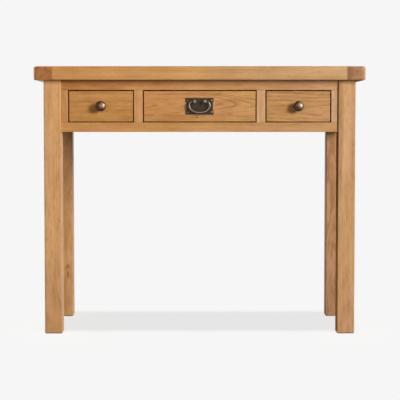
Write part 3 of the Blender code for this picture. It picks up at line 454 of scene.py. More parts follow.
def build_aged_metal(name):
    """Group for cast metal with a dark patina that is rubbed off where a mask says; on the knobs the
    mask is a painted highlight.
    """
    sheet, given, result = new_group(name, {
        "Vector": ORIGIN, "Dark": (0.06, 0.04, 0.03, 1.0), "Bright": (0.4, 0.3, 0.2, 1.0),
        "Rubbed": 0.0, "Dullness": 0.42}, SURFACE)
    blotches = sheet.noise(sheet.scaled(given["Vector"], 190.0), 3.0, 0.6)["Fac"]
    grit = sheet.noise(sheet.scaled(given["Vector"], 1300.0), 2.0, 0.6)["Fac"]
    pits = sheet.ease(sheet.noise(sheet.scaled(given["Vector"], 620.0), 1.0)["Fac"], 0.62, 0.72)
    spread = sheet.math("MULTIPLY_ADD", sheet.math("SUBTRACT", blotches, 0.5), 0.9, given["Rubbed"])
    bare = sheet.ease(spread, 0.15, 0.85)
    mottled = sheet.mix(sheet.ease(blotches, 0.3, 0.7), given["Dark"],
                        sheet.multiplied(given["Dark"], (1.7, 1.55, 1.4, 1.0)))
    colour = sheet.mix(bare, mottled, given["Bright"])
    colour = sheet.mix(sheet.math("MULTIPLY", pits, 0.6), colour, given["Dark"])
    rough = sheet.math("MULTIPLY_ADD", bare, -0.12, given["Dullness"])
    rough = sheet.math("MULTIPLY_ADD", grit, 0.16, sheet.math("SUBTRACT", rough, 0.08))
    height = sheet.math("MULTIPLY_ADD", grit, 0.25, sheet.math("MULTIPLY", blotches, 0.8))
    height = sheet.math("MULTIPLY_ADD", pits, -0.5, height)
    sheet.feed_all(result, {"Color": colour, "Roughness": rough, "Height": height})
    return sheet.tree


def build_wear_and_highlight_spot(name):
    """Group for a round bright spot, stronger towards its centre: wear on pins and posts, a painted
    highlight on knobs.
    """
    sheet, given, result = new_group(name, {
        "Vector": ORIGIN, "Centre": ORIGIN, "Near": 0.005, "Far": 0.015}, {"Mask": FLOAT})
    distance = sheet.vector("DISTANCE", given["Vector"], given["Centre"])
    sheet.feed(result["Mask"], sheet.ease(distance, given["Near"], given["Far"], 1.0, 0.0))
    return sheet.tree


def build_small_mark(name):
    """Group for one mark in the wood, such as a knot, a tick, a pale fleck or a broad cloud."""
    sheet, given, result = new_group(name, {
        "Vector": ORIGIN, "Centre": ORIGIN, "Turn": 0.0, "Length": 0.01, "Width": 0.002,
        "Depth": 0.012, "Strength": 1.0}, {"Mask": FLOAT})
    wobble = sheet.centred(sheet.noise(sheet.scaled(given["Vector"], 240.0), 1.0)["Color"])
    offset = sheet.vector("SUBTRACT", given["Vector"], given["Centre"])
    offset = sheet.vector("ADD", offset, sheet.scaled(wobble, 0.003))
    turn = sheet.add("VectorRotate", {"Vector": offset, "Angle": given["Turn"]}, rotation_type="Z_AXIS")
    size = sheet.joined(given["Length"], given["Width"], given["Depth"])
    reach = sheet.vector("LENGTH", sheet.vector("DIVIDE", turn.outputs["Vector"], size))
    mask = sheet.ease(reach, 0.15, 1.0, 1.0, 0.0)
    sheet.feed(result["Mask"], sheet.math("MULTIPLY", mask, given["Strength"]))
    return sheet.tree


def cleared_sheet(owner):
    """The node sheet of a material or a world, without the nodes that it starts with."""
    owner.use_nodes = True
    owner.node_tree.nodes.clear()
    return NodeSheet(owner.node_tree)


def new_material(name):
    """A material with only its shader and output, with its sheet and the shader."""
    material = bpy.data.materials.new(name)
    sheet = cleared_sheet(material)
    shader = sheet.add("BsdfPrincipled")
    sheet.add("OutputMaterial", {"Surface": shader.outputs[0]})
    return material, sheet, shader


def feed_surface(sheet, shader, surface, relief, strength):
    """Link a group's colour, roughness and height to a shader."""
    bump = sheet.add("Bump", {"Strength": strength, "Distance": relief, "Height": surface["Height"]})
    sheet.feed_all(shader.inputs, {"Base Color": surface["Color"], "Roughness": surface["Roughness"],
                                   "Normal": bump.outputs["Normal"]})


def board(wood, along, face, pith=(0.0, 0.06), lean=(0.0, 0.0), **changes):
    """How a board was cut and how it looks.

    The grain runs along one axis, and the best face looks along another. The tree's centre lies
    pith[0] across from the board's middle and pith[1] behind its face, and moves sideways and
    away by lean for each metre. The colour drifts from tint to far_tint along
    the board. Besides the wood's own tone, on the front boards these are painted sheen: paler and
    bluer towards the right, where the key lamp stands. A mark has its place along and across the
    board, its turn, length, width and strength; an end mark has its place across and outward
    instead. A mark darkens, or brightens where its strength is below zero. The faces beside the
    best one are as dark as sides says, and those that look to the table's middle as
    inner says. This is painted shade in the gaps round the drawers and on the
    right legs' inner faces, and a sides above one is painted light. Edges are paler as wear says:
    this is wear, and also a painted highlight along the rounded arrises.
    """
    look = {"stave": NO_STAVES, "tint": ONES, "figure": 1.0, "contrast": 1.0, "rings": 1.0,
            "patches": 1.0, "wear": 0.5, "sides": 1.0, "inner": 1.0, "gloss": 0.15, "marks": (),
            "end_marks": ()}
    look.update(changes, wood=wood, along=along, face=face, pith=pith, lean=lean)
    look.setdefault("far_tint", look["tint"])
    return look


def leg(**changes):
    """The look of a leg, whose grain stands upright and whose best face looks forward."""
    return board("legs", "-z", "-y", **changes)


def apron(along, face, pith, lean):
    """The look of an apron, glued up from staves."""
    return board("frame", along, face, pith, lean, stave=0.075)


def upright(side, sides, tint):
    """The look of a stile or a muntin; side says on which side its tree's centre lay."""
    return board("frame", "-z", "-y", (0.050 * side, 0.020), gloss=0.03, figure=0.5, contrast=1.5,
                 sides=sides, tint=tint)


def front_board(wood, **changes):
    """The look of a drawer front or a front rail, whose grain runs from left to right."""
    return board(wood, "x", "-y", gloss=0.03, **changes)


def cloud(along, length, strength):
    """A soft mark across the whole width of a board."""
    return (along, 0.0, 0, length, 0.040, strength)


# Tints that grow paler and bluer towards the right of the front, and on the right-hand uprights and
# drawer, are painted sheen from the key lamp on that side, besides the wood's own tone.
BOARDS = {
    "top_panel": board(
        "top", "x", "z", pith=(0.0, 0.050), lean=(0.0, 0.03), stave=0.085,
        tint=(1.00, 0.93, 0.78), far_tint=(0.96, 0.98, 0.92)),
    "top_front_edge": board(
        "top", "x", "-y", pith=(0.050, 0.030), lean=(0.01, 0.0), figure=0.6, contrast=1.1,
        patches=0.6, wear=0.1, tint=(0.98, 0.87, 0.67), far_tint=(0.90, 0.99, 1.08),
        marks=((0.257, -0.010, 8, 0.008, 0.0022, 0.55), (0.212, 0.015, 0, 0.012, 0.002, 0.4),
               (0.345, 0.003, 70, 0.007, 0.004, 0.3), (-0.245, 0.006, 60, 0.012, 0.004, 0.25),
               cloud(-0.255, 0.045, -0.16), cloud(-0.030, 0.070, -0.20),
               cloud(0.080, 0.060, 0.15), cloud(0.190, 0.060, 0.09))),
    "top_rear_edge": board(
        "top", "-x", "y", pith=(-0.050, 0.030), lean=(0.01, 0.0), figure=0.6,
        tint=(0.95, 0.96, 0.90), far_tint=(0.98, 0.90, 0.72)),
    "top_left_end": board(
        "end_blocks", "-y", "z", pith=(0.030, 0.070), lean=(0.02, 0.02), rings=2.0, contrast=1.8,
        patches=1.6, wear=0.2, tint=(1.12, 1.04, 0.81),
        end_marks=((-0.0270, 0.0, 90, 0.060, 0.0085, -1.0), (-0.0155, 0.0150, 0, 0.008, 0.0060, 0.3),
                   (0.0100, 0.0080, 0, 0.014, 0.0080, 0.18), (0.0, -0.0020, 0, 0.012, 0.0025, -0.2))),
    "top_right_end": board(
        "end_blocks", "-y", "z", pith=(-0.024, 0.036), lean=(-0.02, 0.01), rings=1.3, contrast=1.1,
        patches=1.4, wear=0.2, tint=(0.98, 1.14, 1.60), gloss=0.0,
        end_marks=((-0.0200, 0.0, 90, 0.040, 0.0130, 0.5), (-0.0096, -0.0020, 90, 0.013, 0.0016, 0.35),
                   (0.0035, 0.0053, -5, 0.006, 0.0014, 0.6), (0.0180, 0.0, 90, 0.040, 0.0120, -0.2))),
    "leg_front_left": leg(
        pith=(0.060, 0.030), figure=0.5, contrast=1.1, patches=1.4, tint=(1.09, 1.07, 0.99),
        far_tint=(1.04, 1.04, 0.97),
        marks=(cloud(-0.010, 0.200, -0.19), cloud(0.300, 0.180, 0.13),
               (-0.100, -0.002, 0, 0.30, 0.0030, -0.15), (-0.150, 0.020, 35, 0.005, 0.0018, 0.7),
               (0.033, 0.014, 35, 0.005, 0.0018, 0.7), (0.045, 0.0150, 10, 0.035, 0.0030, 0.35),
               (0.270, 0.016, -12, 0.050, 0.0035, 0.50))),
    # This leg's inner face is darkened: painted shade where the key lamp does not reach.
    "leg_front_right": leg(
        pith=(-0.060, 0.030), figure=0.5, contrast=1.0, patches=1.4, inner=0.58, gloss=0.0,
        tint=(0.87, 0.92, 0.99), far_tint=(0.87, 0.90, 0.99),
        marks=((-0.250, -0.0190, 0, 0.32, 0.0110, 0.42), (-0.250, -0.0034, 0, 0.32, 0.0110, -0.24),
               (-0.200, 0.0180, 0, 0.36, 0.0120, 0.22), (0.200, -0.0147, 2, 0.012, 0.0016, -0.5),
               (0.245, -0.0155, -2, 0.014, 0.0016, -0.5), (0.280, -0.0140, 2, 0.010, 0.0016, -0.5))),
    # Painted light: the pale cloud just under the frame lifts the shade that the rails cast on this leg.
    # The dark cloud darkens a band lower down.
    "leg_rear_left": leg(
        pith=(0.050, 0.030), figure=0.6, contrast=1.5, patches=1.4, tint=(1.01, 1.00, 0.95),
        marks=((0.212, 0.0060, 30, 0.014, 0.0035, 1.0), (0.212, 0.0125, -30, 0.014, 0.0035, 1.0),
               (0.236, 0.0093, 0, 0.018, 0.0035, 1.0), (0.130, 0.0040, 0, 0.100, 0.0040, 0.35),
               cloud(-0.195, 0.130, -0.32), cloud(0.086, 0.100, 0.15))),
    # Its inner face is darkened, painted shade. The pale cloud just under the frame is painted light
    # that lifts the shade the rails cast; the dark cloud darkens the foot.
    "leg_rear_right": leg(
        pith=(0.01, 0.06), lean=(0.01, -0.02), rings=1.6, contrast=1.8, patches=1.6, inner=0.5,
        tint=(0.76, 0.74, 0.78),
        marks=((0.055, -0.0105, -23, 0.022, 0.0025, 0.5), (0.071, -0.0085, -23, 0.018, 0.0020, 0.5),
               (0.175, -0.0060, -15, 0.022, 0.0025, 0.45), (0.232, -0.0070, 20, 0.025, 0.0025, 0.45),
               cloud(-0.135, 0.120, -0.22), cloud(0.360, 0.160, 0.30))),
    "side_apron_left": apron("-y", "-x", (0.0, 0.05), (0.02, 0.04)),
    "side_apron_right": apron("y", "x", (0.0, 0.06), (-0.02, 0.03)),
    "rear_apron": apron("-x", "y", (0.01, 0.05), (0.01, 0.03)),
    # A sides below one darkens the faces of these rails, uprights and fronts that look into the drawer
    # gaps: painted shade. The right drawer's, above one, is painted light.
    "front_top_rail": front_board(
        "frame", pith=(0.045, 0.030), figure=0.6, sides=0.4, tint=(0.91, 0.79, 0.63),
        far_tint=(0.96, 1.03, 1.28),
        marks=(cloud(-0.020, 0.220, -0.10), cloud(-0.185, 0.080, -0.28),
               cloud(-0.010, 0.035, -0.20), cloud(0.265, 0.080, 0.20))),
    "front_bottom_rail": front_board(
        "frame", pith=(-0.050, 0.030), figure=0.5, sides=0.6, tint=(1.03, 0.98, 0.80),
        far_tint=(0.86, 0.92, 1.04), marks=(cloud(0.040, 0.110, -0.13), cloud(0.315, 0.035, -0.12))),
    "front_stile_left": upright(1, 0.8, (1.01, 0.99, 1.03)),
    "front_stile_right": upright(-1, 0.1, (1.09, 1.30, 1.89)),
    "muntin_left": upright(1, 1.0, (1.17, 1.14, 1.29)),
    "muntin_right": upright(-1, 0.4, (1.15, 1.33, 1.74)),
    "drawer_left_front": front_board(
        "drawers", pith=(0.055, 0.030), figure=0.7, contrast=1.3, sides=0.8,
        tint=(1.09, 1.05, 0.92), far_tint=(1.05, 1.01, 0.92)),
    "drawer_middle_front": front_board(
        "drawers", pith=(0.020, 0.030), lean=(0.02, 0.09), contrast=1.8, rings=1.7, sides=0.6,
        tint=(1.02, 0.97, 0.94), far_tint=(1.03, 1.09, 1.15),
        marks=((-0.008, -0.0306, 0, 0.006, 0.0035, 0.8),)),
    "drawer_right_front": front_board(
        "drawers", pith=(-0.006, 0.034), lean=(-0.05, -0.10), contrast=1.5, rings=3.4, figure=1.4,
        sides=1.3, wear=0.6, tint=(0.93, 0.99, 1.07), far_tint=(0.92, 0.99, 1.12),
        marks=((-0.088, -0.013, 10, 0.009, 0.004, 0.5),)),
}


def plain_board(node, place):
    """The look of an inside board, cut along its longest side."""
    chance = random.Random(place)
    size = node_size(node)
    longest = max(range(3), key=lambda axis: size[axis])
    thinnest = min(range(3), key=lambda axis: size[axis])
    pith = (chance.uniform(-0.02, 0.02), chance.uniform(0.03, 0.09))
    lean = (chance.uniform(-0.02, 0.02), 0.02)
    tint = [chance.uniform(0.92, 1.08)] * 3
    return board("inside", "xyz"[longest], "xyz"[thinnest], pith, lean, tint=tint, contrast=0.8)


def board_marks(sheet, local, half, look):
    """The masks of a board's marks, on its best face and on its ends, added up."""
    along, across, outward = sheet.parts(local)
    across_end = sheet.joined(across, outward, along)
    total = 0.0
    for plane, depth, marks in ((local, half.z, look["marks"]), (across_end, half.x, look["end_marks"])):
        for first, second, angle, length, width, strength in marks:
            spot = place_group(sheet, "Small Mark", build_small_mark, {
                "Vector": plane, "Centre": (first, second, depth), "Turn": math.radians(angle),
                "Length": length, "Width": width, "Strength": strength})
            total = sheet.math("ADD", spot["Mask"], total)
    return total


def painted_side_shade(sheet, normal, outward, middle, look):
    """Painted shade: what a face's colour is multiplied by, from the way it looks; a dark face is warmer
    too.
    """
    # Painted shade in the drawer gaps, and painted light where sides is above one.
    facing = sheet.vector("DOT_PRODUCT", normal, tuple(outward))
    shade = sheet.ease(sheet.math("ABSOLUTE", facing), 0.2, 0.8, look["sides"], 1.0)
    # Faces that look to the table's middle are darkened too: painted shade on the right legs' inner
    # faces.
    inward = Vector((-middle.x, 0.0, 0.0)).normalized()
    facing_in = sheet.vector("DOT_PRODUCT", normal, tuple(inward))
    shade = sheet.math("MULTIPLY", shade, sheet.ease(facing_in, 0.4, 0.9, 1.0, look["inner"]))
    return sheet.joined(shade, sheet.math("POWER", shade, 1.25), sheet.math("POWER", shade, 2.0))


def board_material(node, look, seed):
    """The oak of one board, turned so that the pattern follows the board's own grain."""
    wood = bpy.context.scene.dressing_table_wood
    along = AXES[look["along"]]
    outward = AXES[look["face"]]
    turn = Matrix((along, outward.cross(along), outward))
    middle = node_middle(node)
    half = Vector([abs(value) for value in turn @ (node_size(node) / 2)])
    material, sheet, shader = new_material(node + "_oak")
    coordinates = sheet.add("TexCoord").outputs
    local = sheet.add("Mapping", {"Vector": coordinates["Object"], "Location": -(turn @ middle),
                                  "Rotation": turn.to_euler()}, vector_type="POINT").outputs["Vector"]
    end = sheet.vector("DOT_PRODUCT", coordinates["Normal"], tuple(along))
    edge = place_group(sheet, "Worn Edges", build_worn_and_highlit_edges, {
        "Vector": local, "Half Size": half, "Width": wood.worn_edge, "Seed": seed})["Edge"]
    base = getattr(wood, look["wood"])
    # Near and far tints: the wood's own tone, with painted sheen on the front boards.
    near_wood, far_wood = ([value * tint for value, tint in zip(base, look[end_tint])] + [1.0]
                           for end_tint in ("tint", "far_tint"))
    surface = place_group(sheet, "Oak Board", build_oak_board, {
        "Vector": local, "End Grain": sheet.math("ABSOLUTE", end),
        "Edge": sheet.math("MULTIPLY", edge, wood.edge_wear_and_highlight * look["wear"]),
        "Mark": board_marks(sheet, local, half, look), "Wood": near_wood, "Far Wood": far_wood,
        "Half Length": half.x, "Seed": seed, "Pith": (0.0, look["pith"][0], half.z - look["pith"][1]),
        "Lean": (0.0, look["lean"][0], -look["lean"][1]), "Stave Width": look["stave"],
        "Ring Width": wood.ring_width * look["rings"], "Figure": wood.figure * look["figure"],
        "Contrast": wood.contrast * look["contrast"], "Patches": look["patches"]})
    feed_surface(sheet, shader, surface, relief=0.00012, strength=0.5)
    shade = painted_side_shade(sheet, coordinates["Normal"], outward, middle, look)
    sheet.feed(shader.inputs["Base Color"], sheet.multiplied(surface["Color"], shade))
    shader.inputs["Specular IOR Level"].default_value = look["gloss"]
    return material


def oak(node, seed):
    """The oak of a board, with a look of its own or a plain one."""
    return board_material(node, BOARDS.get(node) or plain_board(node, seed), seed)


def metal_material(name, dark, bright, rubbed, dullness=0.42, finish=None):
    """Aged metal; rubbed says where it is bright, as a function of the sheet and the place: wear, or a
    knob's painted highlight.
    """
    material, sheet, shader = new_material(name)
    place = sheet.add("TexCoord").outputs["Object"]
    surface = place_group(sheet, "Aged Metal", build_aged_metal, {
        "Vector": place, "Dark": (*dark, 1.0), "Bright": (*bright, 1.0),
        "Rubbed": rubbed(sheet, place), "Dullness": dullness})
    feed_surface(sheet, shader, surface, relief=0.00008, strength=0.35)
    values = {"Metallic": 1.0, "Coat Weight": 0.0, "Coat Roughness": 0.16, "Specular IOR Level": 0.5}
    sheet.feed_all(shader.inputs, values | (finish or {}))
    return material


def steel_material(name):
    """Plated steel of a screw or a nut, dulled by age."""
    steel = bpy.context.scene.dressing_table_metal.steel
    dulled = [0.6 * value for value in steel]
    return metal_material(name, dulled, steel, lambda sheet, place: 0.6, dullness=0.38)


def wear_and_highlight_spot(centre, near, far):
    """A function for metal_material that brightens one spot: wear on pins and posts, a painted highlight
    on knobs.
    """
    def mask(sheet, place):
        return place_group(sheet, "Rubbed Spot", build_wear_and_highlight_spot, {
            "Vector": place, "Centre": centre, "Near": near, "Far": far})["Mask"]
    return mask


def rubbed_away_from(hinge):
    """A function for metal_material that leaves a bail dark near its pins."""
    def mask(sheet, place):
        ends = wear_and_highlight_spot(tuple(hinge), near=0.018, far=0.030)(sheet, place)
        return sheet.math("MULTIPLY_ADD", ends, -0.8, 1.0)
    return mask


def rubbed_edges(node, width):
    """A function for metal_material that rubs the edges of a plate."""
    def mask(sheet, place):
        local = sheet.vector("SUBTRACT", place, tuple(node_middle(node)))
        return place_group(sheet, "Worn Edges", build_worn_and_highlit_edges, {
            "Vector": local, "Half Size": node_size(node) / 2, "Width": width})["Edge"]
    return mask


def paint(node, material):
    """Give a piece of the frame a material."""
    frame["nodes"][node].material_slots[0].material = material


def body_of(node):
    """The body that a piece of the frame belongs to."""
    bodies = frame["record"]["behaviour"]["bodies"]
    return next(body for body, members in bodies.items() if node in members)


def link_object(name, data, place=ORIGIN):
    """A new object that holds the data, in the scene."""
    new = bpy.data.objects.new(name, data)
    new.location = place
    bpy.context.scene.collection.objects.link(new)
    return new


def new_mesh(name, bm):
    """A mesh datablock with what a bmesh holds; the bmesh is freed."""
    mesh = bpy.data.meshes.new(name)
    bm.to_mesh(mesh)
    bm.free()
    return mesh


def make_piece(name, bm, material, node):
    """Make a mesh into a piece that stands for a piece of the frame and rides with it."""
    mesh = new_mesh(name, bm)
    mesh.materials.append(material)
    mesh.shade_smooth()
    mesh.set_sharp_from_angle(angle=SMOOTH_ANGLE)
    piece = link_object(name, mesh)
    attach(piece, body_of(node))
    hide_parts(node)
    return piece


def soft_board(node, material):
    """A copy of a solid, with its triangles joined and its rounded edges shaded as curves."""
    bm = bmesh.new()
    bm.from_mesh(frame["nodes"][node].data)
    bmesh.ops.remove_doubles(bm, verts=bm.verts, dist=MERGE_DISTANCE)
    bmesh.ops.dissolve_limit(bm, angle_limit=FLAT_ANGLE, verts=bm.verts, edges=bm.edges)
    piece = make_piece(node + "_board", bm, material, node)
    piece.modifiers.new("Flat faces", "WEIGHTED_NORMAL").keep_sharp = True


def turned_piece(node, bm, place, material):
    """Put a turned fitting, made about the Y axis, at its place in the frame."""
    bmesh.ops.translate(bm, verts=bm.verts, vec=place)
    make_piece(node + "_turned", bm, material, node)


def turned(profile, steps):
    """The closed shape that a profile of (radius, distance) points makes about the Y axis.

    Distance counts forward from y = 0, towards -Y.
    """
    bm = bmesh.new()
    verts = [bm.verts.new((radius, -distance, 0.0)) for radius, distance in profile]
    edges = [bm.edges.new(pair) for pair in zip(verts, verts[1:])]
    bmesh.ops.spin(bm, geom=verts + edges, axis=(0, 1, 0), cent=ORIGIN, dvec=ORIGIN,
                   angle=2 * math.pi, steps=steps, use_merge=True)
    bmesh.ops.remove_doubles(bm, verts=bm.verts, dist=MERGE_DISTANCE)
    bmesh.ops.recalc_face_normals(bm, faces=bm.faces)
    return bm


def arc(centre, radii, start, end, steps):
    """Points of an elliptic arc between two angles in degrees, as (radius, distance)."""
    points = []
    for number in range(steps + 1):
        angle = math.radians(start + (end - start) * number / steps)
        points.append((centre[0] + radii[0] * math.cos(angle), centre[1] + radii[1] * math.sin(angle)))
    return points


def knob_profile(radius, reach):
    """Section of a round knob: bore, foot, waisted neck, rim and dome."""
    bore = 0.0023
    bore_depth = 0.012
    foot = 0.0075
    foot_edge = 0.0005
    neck = 0.0055
    neck_steps = 14
    neck_start = 0.0022
    rim = reach - 0.0090
    rim_edge = 0.0008
    points = [(0.0, bore_depth), (bore, bore_depth), (bore, 0.0), (foot - 0.0003, 0.0)]
    points += arc((foot - foot_edge, foot_edge), (foot_edge, foot_edge), -60, 60, 4)
    points += [(foot - 0.0004, 0.0016), (foot - 0.0008, 0.0020)]
    for number in range(1, neck_steps):
        share = number / neck_steps
        waist = neck + (radius - neck) * share ** 2.2 + (foot - 0.001 - neck) * (1 - share) ** 6
        points.append((waist, neck_start + (rim - rim_edge - neck_start) * share))
    points += arc((radius - rim_edge, rim), (rim_edge, 0.0010), -80, 0, 5)
    points += arc((0.0, rim), (radius, reach - rim), 4, 90, 24)
    points[-1] = (0.0, reach)
    return points


def screw_profile(head, head_height, grip, reach):
    """Section of a pan-head screw: its head lies behind the distance -grip."""
    core = SHANK - THREAD_DEPTH
    points = [(0.0, reach), (core - 0.0003, reach), (core, reach - 0.0006), (core, -grip)]
    points += [(head - 0.0002, -grip), (head, -grip - 0.0002)]
    points += arc((head - 0.0012, -grip - head_height + 0.0014), (0.0012, 0.0012), 0, -70, 6)
    points += [(0.45 * head, -grip - head_height), (0.0, -grip - head_height)]
    return points


def pin_profile(radius, head, length):
    """Section of a round-headed pin, with ribs round its shank that hold in the wood."""
    shank = 0.0008
    ribs = 6
    rib_pitch = 0.0011
    points = [(0.0, -length), (0.3 * shank, -length), (shank, 0.0012 - length)]
    for number in range(ribs):
        base = 0.0018 - length + number * rib_pitch
        points += [(shank, base), (0.8 * shank, base + 0.0001), (shank, base + 0.0009)]
    points += [(shank, 0.0)] + arc((0.0, 0.0), (radius, head), 0, 90, 10)
    points[-1] = (0.0, head)
    return points


def post_profile(ball, reach, length):
    """Section of a ball post: shank behind the plate, beaded collar, waisted neck and ball."""
    collar = 0.0046
    collar_edge = 0.0006
    neck = 0.0030
    neck_end = 0.0040
    centre = reach - ball
    start = math.degrees(math.acos((centre - neck_end) / ball))
    points = [(0.0, -length), (SHANK - 0.0004, -length), (SHANK, 0.0004 - length), (SHANK, 0.0)]
    points += [(collar - 0.0003, 0.0)]
    points += arc((collar - collar_edge, collar_edge), (collar_edge, collar_edge), -60, 90, 8)
    points += [(neck + 0.0004, 0.0012), (neck, 0.0016), (neck, 0.0026), (neck + 0.0002, 0.0031)]
    points += arc((0.0, centre), (ball, ball), start - 90, 90, 22)
    points[-1] = (0.0, reach)
    return points


def nut_barrel(radius, thickness):
    """Section of the turned outline that rounds the corners of a nut, with its washer face."""
    washer = 0.0023
    ease = 0.13 * radius
    return [(0.0, 0.0), (radius - ease, 0.0), (radius, 0.3 * ease + 0.0002),
            (radius, thickness - 0.3 * ease - 0.0002), (radius - ease, thickness),
            (washer, thickness), (0.0, thickness)]


def add_thread(bm, start, end, metal):
    """Wind the ridge of a screw thread round a shank that lies on the Y axis."""
    pitch = metal.thread_pitch
    steps = metal.turned_steps // 4
    turns = round((end - start) / pitch) - 1
    root = SHANK - 1.5 * THREAD_DEPTH
    crest = SHANK - 0.1 * THREAD_DEPTH
    section = ((root, 0.05), (crest, 0.45), (crest, 0.55), (root, 0.95))
    verts = [bm.verts.new((out, -start - share * pitch, 0.0)) for out, share in section]
    edges = [bm.edges.new((verts[number - 1], verts[number])) for number in range(len(verts))]
    bmesh.ops.contextual_create(bm, geom=edges)
    spun = bmesh.ops.spin(bm, geom=edges, axis=(0, 1, 0), cent=ORIGIN, dvec=(0, -pitch / steps, 0),
                          angle=2 * math.pi * turns, steps=steps * turns)
    rim = [item for item in spun["geom_last"] if isinstance(item, bmesh.types.BMEdge)]
    bmesh.ops.contextual_create(bm, geom=rim)
    bmesh.ops.recalc_face_normals(bm, faces=bm.faces)


def combined(bm, other, operation):
    """One mesh cut by another, or what the two have in common."""
    work, tool = (link_object("workpiece", new_mesh("workpiece", part)) for part in (bm, other))
    boolean = work.modifiers.new("Cut", "BOOLEAN")
    boolean.operation = operation
    boolean.object = tool
    result = bmesh.new()
    result.from_object(work, bpy.context.evaluated_depsgraph_get())
    for piece in (work, tool):
        mesh = piece.data
        bpy.data.objects.remove(piece)
        bpy.data.meshes.remove(mesh)
    bmesh.ops.remove_doubles(result, verts=result.verts, dist=MERGE_DISTANCE)
    return result


def rod(radius, start, end, steps):
    """A round rod between two points."""
    start, end = Vector(start), Vector(end)
    way = end - start
    place = Matrix.Translation((start + end) / 2) @ way.to_track_quat("Z", "Y").to_matrix().to_4x4()
    bm = bmesh.new()
    bmesh.ops.create_cone(bm, cap_ends=True, segments=steps, radius1=radius, radius2=radius,
                          depth=way.length, matrix=place)
    return bm


def swept(places, steps):
    """A closed bar through a list of placing matrices, each of which puts a unit circle."""
    bm = bmesh.new()
    bmesh.ops.create_circle(bm, cap_ends=True, radius=1.0, segments=steps, matrix=places[0])
    ring = bm.edges[:]
    for before, after in zip(places, places[1:]):
        grown = bmesh.ops.extrude_edge_only(bm, edges=ring)["geom"]
        ring = [item for item in grown if isinstance(item, bmesh.types.BMEdge) and item.is_boundary]
        verts = [item for item in grown if isinstance(item, bmesh.types.BMVert)]
        bmesh.ops.transform(bm, matrix=after @ before.inverted(), verts=verts)
    bmesh.ops.holes_fill(bm, edges=ring)
    bmesh.ops.recalc_face_normals(bm, faces=bm.faces)
    return bm


def bail_path(low, high):
    """Points (x, drop, radius) along the bail, from its left pin to its right pin."""
    pin_radius = 0.0015
    end_radius = 0.0018
    side_radius = 0.0021
    middle_radius = 0.0023
    pin_start = 0.0004
    shoulder_gap = 0.0007
    shoulder_drop = 0.012
    shoulder_steps = 16
    loop_steps = 20
    _, _, ball, ball_radius = round_box("bail_post_right")
    shoulder_x = ball.x + ball_radius + shoulder_gap
    half = (high.x - low.x) / 2 - side_radius
    drop = (high.z - low.z) - pin_radius - middle_radius
    right = [(ball.x + pin_start, 0.0, pin_radius),
             (ball.x + ball_radius - 2 * CLEARANCE, 0.0, pin_radius)]

    def add_point(x, fall):
        right.append((x, fall, end_radius + (middle_radius - end_radius) * fall / drop))

    for number in range(shoulder_steps + 1):
        angle = number / shoulder_steps * math.pi / 2
        add_point(shoulder_x + (half - shoulder_x) * math.sin(angle),
                  shoulder_drop * (1 - math.cos(angle)))
    for number in range(1, loop_steps):
        angle = number / loop_steps * math.pi / 2
        add_point(half * math.cos(angle), shoulder_drop + (drop - shoulder_drop) * math.sin(angle))
    left = [(-x, fall, radius) for x, fall, radius in right]
    return left + [(0.0, drop, middle_radius)] + right[::-1]


def bar_places(points, hinge):
    """Placing matrices of a bar's circles, square to its path in the XZ plane."""
    side = AXES["y"]
    places = []
    for number, (x, fall, radius) in enumerate(points):
        before = points[max(number - 1, 0)]
        after = points[min(number + 1, len(points) - 1)]
        way = Vector((after[0] - before[0], 0.0, before[1] - after[1])).normalized()
        turn = Matrix((side.cross(way), side, way)).transposed().to_4x4()
        spot = Matrix.Translation((hinge.x + x, hinge.y, hinge.z - fall))
        places.append(spot @ turn @ Matrix.Diagonal((radius, radius, radius, 1.0)))
    return places


def finish_boards(nodes, first_seed, fit):
    """Give boards their oak, each with a seed of its own; fit puts the material on a board."""
    for seed, node in enumerate(nodes, first_seed):
        fit(node, oak(node, seed))


class DRESSING_TABLE_OT_finish_top(Operator):
    """Give the five boards of the top their grain, with end grain at the front of the end pieces"""

    bl_idname = "dressing_table.finish_top"
    bl_label = "Finish the top"

    def execute(self, context):
        finish_boards(TOP_BOARDS, 1, soft_board)
        return {"FINISHED"}


class DRESSING_TABLE_OT_finish_legs(Operator):
    """Give the four solid legs their upright grain"""

    bl_idname = "dressing_table.finish_legs"
    bl_label = "Finish the legs"

    def execute(self, context):
        finish_boards(LEGS, 11, soft_board)
        return {"FINISHED"}


class DRESSING_TABLE_OT_finish_frame(Operator):
    """Give rails, stiles, muntins and aprons their grain"""

    bl_idname = "dressing_table.finish_frame"
    bl_label = "Finish the frame"

    def execute(self, context):
        finish_boards(FRONT_FRAME + APRONS, 21, paint)
        return {"FINISHED"}


class DRESSING_TABLE_OT_finish_bearers(Operator):
    """Give runners, kickers and drawer stops a plain sanded oak"""

    bl_idname = "dressing_table.finish_bearers"
    bl_label = "Finish runners and kickers"

    def execute(self, context):
        finish_boards(BEARERS + STOPS, 41, paint)
        return {"FINISHED"}


class DRESSING_TABLE_OT_finish_drawers(Operator):
    """Give the drawer fronts their figure and the drawer boxes a plain sanded oak"""

    bl_idname = "dressing_table.finish_drawers"
    bl_label = "Finish the drawers"

    def execute(self, context):
        for seed, drawer in enumerate(DRAWERS, 61):
            soft_board(f"{drawer}_front", oak(f"{drawer}_front", seed))
            for number, inside in enumerate(DRAWER_INSIDES, 1):
                node = f"{drawer}_{inside}"
                paint(node, oak(node, seed + 10 * number))
        return {"FINISHED"}


